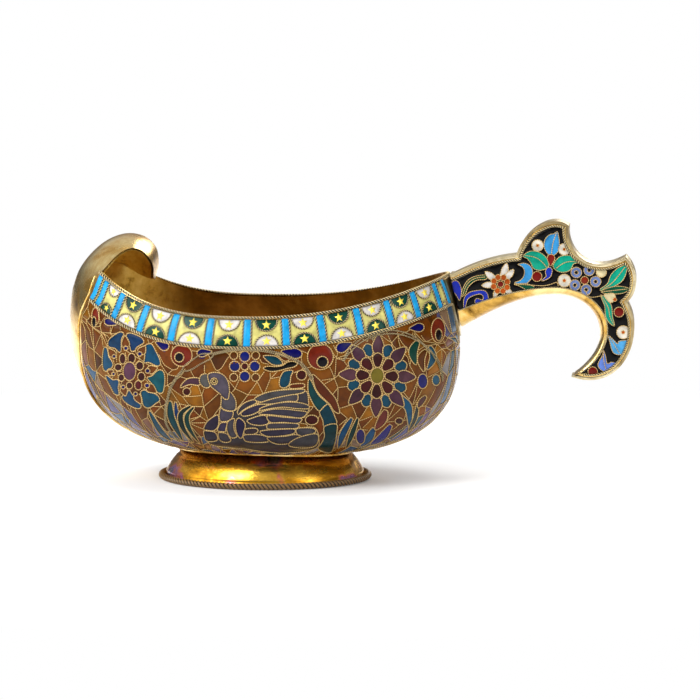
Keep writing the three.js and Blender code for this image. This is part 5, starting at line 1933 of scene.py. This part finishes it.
def flat_enamel(outline, cells, wire_points):
    """Cells of the handle's flat face: triangles that keep to every outline, and how high they stand."""
    low, high = outline.min(axis=0), outline.max(axis=0)
    rows = [np.arange(start, end, FLAT_STEP) for start, end in zip(low, high)]
    inner = np.stack(np.meshgrid(*rows), axis=-1).reshape(-1, 2)
    inner = inner[inside(inner, outline)]
    points = [Vector(point) for point in inner if distance_to_run(point, outline) > FLAT_STEP / 2]
    edges = []
    for ring in [outline] + [ring for ring, _ in cells]:
        start = len(points)
        points.extend(Vector(point) for point in ring)
        edges.extend((start + place, start + (place + 1) % len(ring)) for place in range(len(ring)))
    result = geometry.delaunay_2d_cdt(points, edges, [], 0, 1e-5)
    places = np.array([tuple(point) for point in result[0]])
    triangles = np.array([tuple(face) for face in result[2] if len(face) == 3])
    middle = places[triangles].mean(axis=1)
    keep = inside(middle, outline)
    tree = point_tree([(x, z, 0) for x, z in wire_points])
    near = np.array([tree.find((x, z, 0))[2] for x, z in places])
    depths = HANDLE_FACE - HANDLE_DIP * np.exp(-(near / 0.5) ** 2)
    return places, triangles[keep], depths, covered(middle[keep], cells)


def on_side(run, depth):
    """A run in the handle's plane, as points beside it, and their normals."""
    line = np.stack([run[:, 0], np.full(len(run), depth), run[:, 1]], axis=-1)
    return line, np.tile((0, math.copysign(1, depth), 0), (len(run), 1))


def build_edge_strip(outer):
    inner = from_root(beside(outer, EDGE_WALL)[:-1])
    strip = slab("edge_strip", np.vstack([outer, inner[::-1]]), -HALF_WIDTH, HALF_WIDTH, 0.12)
    finish_piece(strip, MATERIALS["silver_gilt"], "silver", "handle_edge_strip")


def build_handle(settings):
    outer, _, ground = handle_runs()
    build_edge_strip(outer)
    upper = from_root(beside(outer, EDGE_WALL + PLATE_GAP)[:-2])
    lower = from_root(beside(ground, -0.1)[:-3])
    plate = np.vstack([upper, lower[::-1]])
    upper = from_root(beside(outer, GROUND_INSET)[:-3])
    lower = from_root(beside(ground, -GRIP_MARGIN)[:-5])
    face = resample(np.vstack([upper, lower[::-1]]), 0.45, True)
    art = handle_ornament()
    outlines = [resample(on_plane(outline, -HANDLE_FACE), FLAT_SAMPLE, True) for outline, _ in art.cells]
    cells = [(ring, colour) for ring, (_, colour) in zip(outlines, art.cells)]
    runs = visible_runs(outlines, cells)
    runs += [(resample(on_plane(line, -HANDLE_FACE), FLAT_SAMPLE), False) for line in art.wires]
    runs = kept_runs(runs, resample(face, 0.2, True))
    wire_points = np.concatenate([resample(run, WIRE_SAMPLE, closed) for run, closed in runs] + [face])
    places, triangles, depths, found = flat_enamel(face, cells, wire_points)
    handle_ground = tuple(settings.handle_ground)
    colours = np.tile(handle_ground, (len(triangles), 1))
    colour_motifs(colours, found, cells)
    colours[:, :3] *= HANDLE_DEPTH
    border = open_edges(triangles.tolist())
    edge_colour = np.tile(handle_ground, (len(border), 1))
    count = len(places)
    walls = [(there, here, here + count, there + count) for here, there in border]
    low_run = from_root(beside(ground, -0.12)[:-4])
    twists = ((from_root(beside(outer, WIRE_INSET)[:-2]), HANDLE_WIRE), (low_run, LOW_WIRE))
    for name, side in (("front", -1), ("back", 1)):
        low, high = sorted(((PLATE_FACE - PLATE_THICKNESS) * side, PLATE_FACE * side))
        piece = slab(f"plate_{name}", plate, low, high, 0.1)
        finish_piece(piece, MATERIALS["gilt"], "silver_gilt", f"handle_plate_{name}")
        top = np.stack([places[:, 0], depths * side, places[:, 1]], axis=-1)
        base, _ = on_side(places, (PLATE_FACE - ENAMEL_SINK) * side)
        faces = triangles.tolist() + walls
        faces = [tuple(corners) if side < 0 else tuple(reversed(corners)) for corners in faces]
        piece = make_mesh(f"handle_cells_{name}", np.vstack([top, base]), faces)
        paint(piece, np.vstack([colours, edge_colour]))
        finish_piece(piece, MATERIALS["enamel"], "enamel_black", f"handle_enamel_{name}")
        fine = Bundle()
        for run, closed in runs:
            fine.tube(*on_side(run, HANDLE_FACE * side), settings.fine_wire / MM / 2, closed=closed)
        finish_piece(fine.build(f"handle_fine_wires_{name}"), MATERIALS["fine_wire"], "gilt_wire")
        twist = Bundle()
        for run, diameter in twists:
            line, normals = on_side(resample(run, WIRE_SAMPLE), (PLATE_FACE + TWIST_LIFT) * side)
            twist.twisted(line, normals, diameter, diameter * TWIST_SHARE)
        twist_piece = twist.build(f"handle_twist_{name}")
        finish_piece(twist_piece, MATERIALS["wire"], "gilt_wire", f"handle_wire_{name}")


def build_grip():
    """The rounded inner side of the handle."""
    _, grip, ground = handle_runs()
    size = 25
    count = 110
    share = np.linspace(0, GRIP_END_SHARE, count)
    edge = ground[(share * (len(ground) - 1)).astype(int)]
    bottom = grip[(share * (len(grip) - 1)).astype(int)]
    turn = np.linspace(0, math.pi, size)
    bulge = np.sin(turn) ** GRIP_BULGE_POWER
    points = []
    for start, end in zip(edge, bottom):
        x, z = mix(start[0], end[0], bulge), mix(start[1], end[1], bulge)
        x = np.maximum(x, [root_x(height) for height in z])
        points.append(np.stack([x, -PLATE_FACE * np.cos(turn), z], axis=-1))
    faces = [tuple(range(size)), tuple(range((count - 1) * size, count * size))]
    for here in range(0, (count - 1) * size, size):
        for side in range(size):
            after = (side + 1) % size
            faces.append((here + side, here + after, here + size + after, here + size + side))
    piece = make_mesh("grip", np.concatenate(points), faces)
    turn_outwards(piece)
    smooth_by_angle(piece, 50)
    finish_piece(piece, MATERIALS["gilt"], "silver_gilt", "handle_grip")


def build_seat():
    """The plate on the end of the bowl that the handle is soldered to."""
    columns, rows = 24, 30
    below_wire = BOWL_WIRE_DIAMETER + TRIM_GAP
    top = float(shell_point(0.0, 2.0)[2]) - below_wire
    height = mix(SEAT_LOW_HEIGHT, top, np.linspace(0, 1, rows + 1))
    half = seat_angle(level_of_height(np.zeros(rows + 1), height))
    turn = mix(-half, half, np.linspace(0, 1, columns + 1)[:, None]) % (2 * math.pi)
    limit = shell_point(turn, 2.0)[..., 2] - below_wire
    level = level_of_height(turn, np.minimum(height, limit))
    high = lifted(turn, level, SEAT_FACE).reshape(-1, 3)
    low = lifted(turn, level, SEAT_SINK).reshape(-1, 3)
    faces = thick_faces([tuple(face) for face in grid_faces(columns, rows)], len(high))
    piece = make_mesh("seat_plate", np.vstack([high, low]), faces)
    turn_outwards(piece)
    smooth_by_angle(piece, 40)
    finish_piece(piece, MATERIALS["silver_gilt"], "silver", "handle_seat")


# Stage
def build_floor():
    """A pale floor that keeps the shadow and fades to white further out."""
    bpy.ops.object.select_all(action="DESELECT")
    bpy.ops.mesh.primitive_plane_add(size=FLOOR_SIZE, location=(0, 0, 0))
    floor = bpy.context.object
    floor.name = "floor"
    finish = Finish("pale floor")
    finish.shade({"Base Color": grey(0.9), "Roughness": 0.9, "Specular IOR Level": 0.0})
    away = finish.add("VectorMath", {0: finish.place()}, operation="LENGTH").outputs["Value"]
    fade = finish.add("MapRange", {
        "Value": away, "From Min": FADE_START, "From Max": FADE_END,
    }, interpolation_type="SMOOTHSTEP").outputs["Result"]
    seen = finish.reckon("MULTIPLY", fade, finish.add("LightPath").outputs["Is Camera Ray"])
    white = finish.add("Emission").outputs["Emission"]
    mixer = finish.add("MixShader", {"Fac": seen, 1: finish.shader.outputs["BSDF"], 2: white})
    finish.put(finish.nodes["Material Output"], {"Surface": mixer.outputs["Shader"]})
    floor.data.materials.append(finish.material)


def build_world():
    """A studio that the metal mirrors, and plain white for the camera."""
    world = bpy.context.scene.world or bpy.data.worlds.new("studio")
    bpy.context.scene.world = world
    tree = Tree(world)
    upward = tree.add("SeparateXYZ", {0: tree.place("Generated")}).outputs["Z"]
    height = tree.reckon("MULTIPLY_ADD", upward, 0.5, 0.5)
    sky = tree.ramp(height, *((place, grey(tone)) for place, tone in SKY))
    seen = tree.add("LightPath").outputs["Is Camera Ray"]
    tree.put(tree.nodes["Background"], {"Color": tree.blend(seen, sky, grey(1.0))})


def place_aimed(name, data, place, away):
    """A lamp or a camera at its place, facing along a direction."""
    item = bpy.data.objects.new(name, data)
    bpy.context.scene.collection.objects.link(item)
    item.location = place
    item.rotation_euler = Vector(away).to_track_quat("-Z", "Y").to_euler()
    return item


def build_lamps():
    for name, place, size, power in LAMPS:
        lamp = bpy.data.lights.new(name, "AREA")
        lamp.energy = power
        lamp.size = size
        place_aimed(name, lamp, place, Vector(LAMP_AIM) - Vector(place))


def build_camera():
    back = Vector(camera_axes()[2])
    data = bpy.data.cameras.new("camera")
    data.lens = FOCAL_PIXELS / IMAGE_SIZE * SENSOR_WIDTH
    data.sensor_width = SENSOR_WIDTH
    aim = Vector(((AIM_X + CENTRE) * MM, 0, AIM_Z * MM))
    bpy.context.scene.camera = place_aimed("camera", data, aim + back * CAMERA_DISTANCE * MM, -back)
    bpy.context.scene.view_settings.view_transform = "Standard"


# Add-on
def colour_property(name, description, code):
    return bpy.props.FloatVectorProperty(
        name=name, description=description, default=linear(code), size=4, min=0, max=1, subtype="COLOR")


def length_property(name, description, size):
    return bpy.props.FloatProperty(
        name=name, description=description, default=size * MM, min=0, precision=5,
        subtype="DISTANCE", unit="LENGTH")


class KovshSettings(bpy.types.PropertyGroup):
    """Sizes and colours of the kovsh that a user would change"""

    gilding: colour_property("Gilding", "Bright gilding of the bowl and handle", "F6DC98")
    foot_gilding: colour_property("Foot gilding", "Bright gilding of the foot", "F2BE48")
    wire: colour_property("Wire", "Bright side of the twisted wires", "E8D098")
    cloison: colour_property("Cloison", "Bright side of the wires between cells", "D8B878")
    band_ground: colour_property("Band ground", "Enamel between the bars of the rim band", "E9DF84")
    bar: colour_property("Bars", "Raised bars of the rim band", "1C94CE")
    handle_ground: colour_property("Handle ground", "Enamel behind the handle's flowers", "060404")
    fine_wire: length_property("Cloison wire", "Thickness of the wires between cells", 0.22)
    shard: length_property("Shard", "Usual width of the body's cells", 5.4)
    twist_pitch: length_property("Twist", "Length of one turn of the rim's twisted wires", 1.9)
    enamel_depth: bpy.props.FloatProperty(
        name="Enamel depth", description="How much of its light the body's enamel returns", default=0.27,
        min=0, max=1, subtype="FACTOR")


def settings_ready(context):
    """The scene's settings, once the materials that they colour exist."""
    if not MATERIALS:
        build_materials(context.scene.kovsh)
    return context.scene.kovsh


class KOVSH_OT_stage(bpy.types.Operator):
    """Adds the floor, the lamps and the camera"""

    bl_idname = "kovsh.stage"
    bl_label = "Stage"

    def execute(self, context):
        build_floor()
        build_world()
        build_lamps()
        build_camera()
        return {"FINISHED"}


class KOVSH_OT_bowl(bpy.types.Operator):
    """Builds the gilt bowl with its curled hood"""

    bl_idname = "kovsh.bowl"
    bl_label = "Bowl"

    def execute(self, context):
        settings_ready(context)
        build_bowl()
        return {"FINISHED"}


class KOVSH_OT_trim(bpy.types.Operator):
    """Twists the wires along the rim and under the band, and lays a plain wire up the prow"""

    bl_idname = "kovsh.trim"
    bl_label = "Trim wires"

    def execute(self, context):
        build_trim_wires(settings_ready(context))
        return {"FINISHED"}


class KOVSH_OT_body_enamel(bpy.types.Operator):
    """Lays the cloisonne of the bowl's sides"""

    bl_idname = "kovsh.body_enamel"
    bl_label = "Body enamel"

    def execute(self, context):
        build_body_enamel(settings_ready(context))
        return {"FINISHED"}


class KOVSH_OT_rim_band(bpy.types.Operator):
    """Lays the rim band with its bars, half discs and stars"""

    bl_idname = "kovsh.rim_band"
    bl_label = "Rim band"

    def execute(self, context):
        build_rim_band(settings_ready(context))
        return {"FINISHED"}


class KOVSH_OT_foot(bpy.types.Operator):
    """Builds the flared foot, its collar and its rope"""

    bl_idname = "kovsh.foot"
    bl_label = "Foot"

    def execute(self, context):
        settings_ready(context)
        build_foot()
        return {"FINISHED"}


class KOVSH_OT_handle(bpy.types.Operator):
    """Builds the handle's edge strip, plates, enamel and wires"""

    bl_idname = "kovsh.handle"
    bl_label = "Handle"

    def execute(self, context):
        build_handle(settings_ready(context))
        return {"FINISHED"}


class KOVSH_OT_grip(bpy.types.Operator):
    """Builds the rounded inner side of the handle"""

    bl_idname = "kovsh.grip"
    bl_label = "Grip"

    def execute(self, context):
        settings_ready(context)
        build_grip()
        return {"FINISHED"}


class KOVSH_OT_seat(bpy.types.Operator):
    """Builds the plate that joins the handle to the bowl"""

    bl_idname = "kovsh.seat"
    bl_label = "Seat plate"

    def execute(self, context):
        settings_ready(context)
        build_seat()
        return {"FINISHED"}


STEPS = (
    KOVSH_OT_stage, KOVSH_OT_bowl, KOVSH_OT_trim, KOVSH_OT_body_enamel, KOVSH_OT_rim_band,
    KOVSH_OT_foot, KOVSH_OT_handle, KOVSH_OT_grip, KOVSH_OT_seat,
)


class KOVSH_PT_sidebar(bpy.types.Panel):
    """Lists the kovsh's sizes, colours and pieces"""

    bl_idname = "KOVSH_PT_sidebar"
    bl_label = "Kovsh"
    bl_space_type = "VIEW_3D"
    bl_region_type = "UI"
    bl_category = "Kovsh"

    def draw(self, context):
        for name in KovshSettings.__annotations__:
            self.layout.prop(context.scene.kovsh, name)
        for step in STEPS:
            self.layout.operator(step.bl_idname)


CLASSES = (KovshSettings, *STEPS, KOVSH_PT_sidebar)


def register():
    for item in CLASSES:
        bpy.utils.register_class(item)
    bpy.types.Scene.kovsh = bpy.props.PointerProperty(type=KovshSettings)


def unregister():
    del bpy.types.Scene.kovsh
    for item in reversed(CLASSES):
        bpy.utils.unregister_class(item)


def main():
    """Adds the stage and every piece."""
    register()
    bpy.ops.kovsh.stage()
    bpy.ops.kovsh.bowl()
    bpy.ops.kovsh.trim()
    bpy.ops.kovsh.body_enamel()
    bpy.ops.kovsh.rim_band()
    bpy.ops.kovsh.foot()
    bpy.ops.kovsh.handle()
    bpy.ops.kovsh.grip()
    bpy.ops.kovsh.seat()


if __name__ == "__main__":
    main()
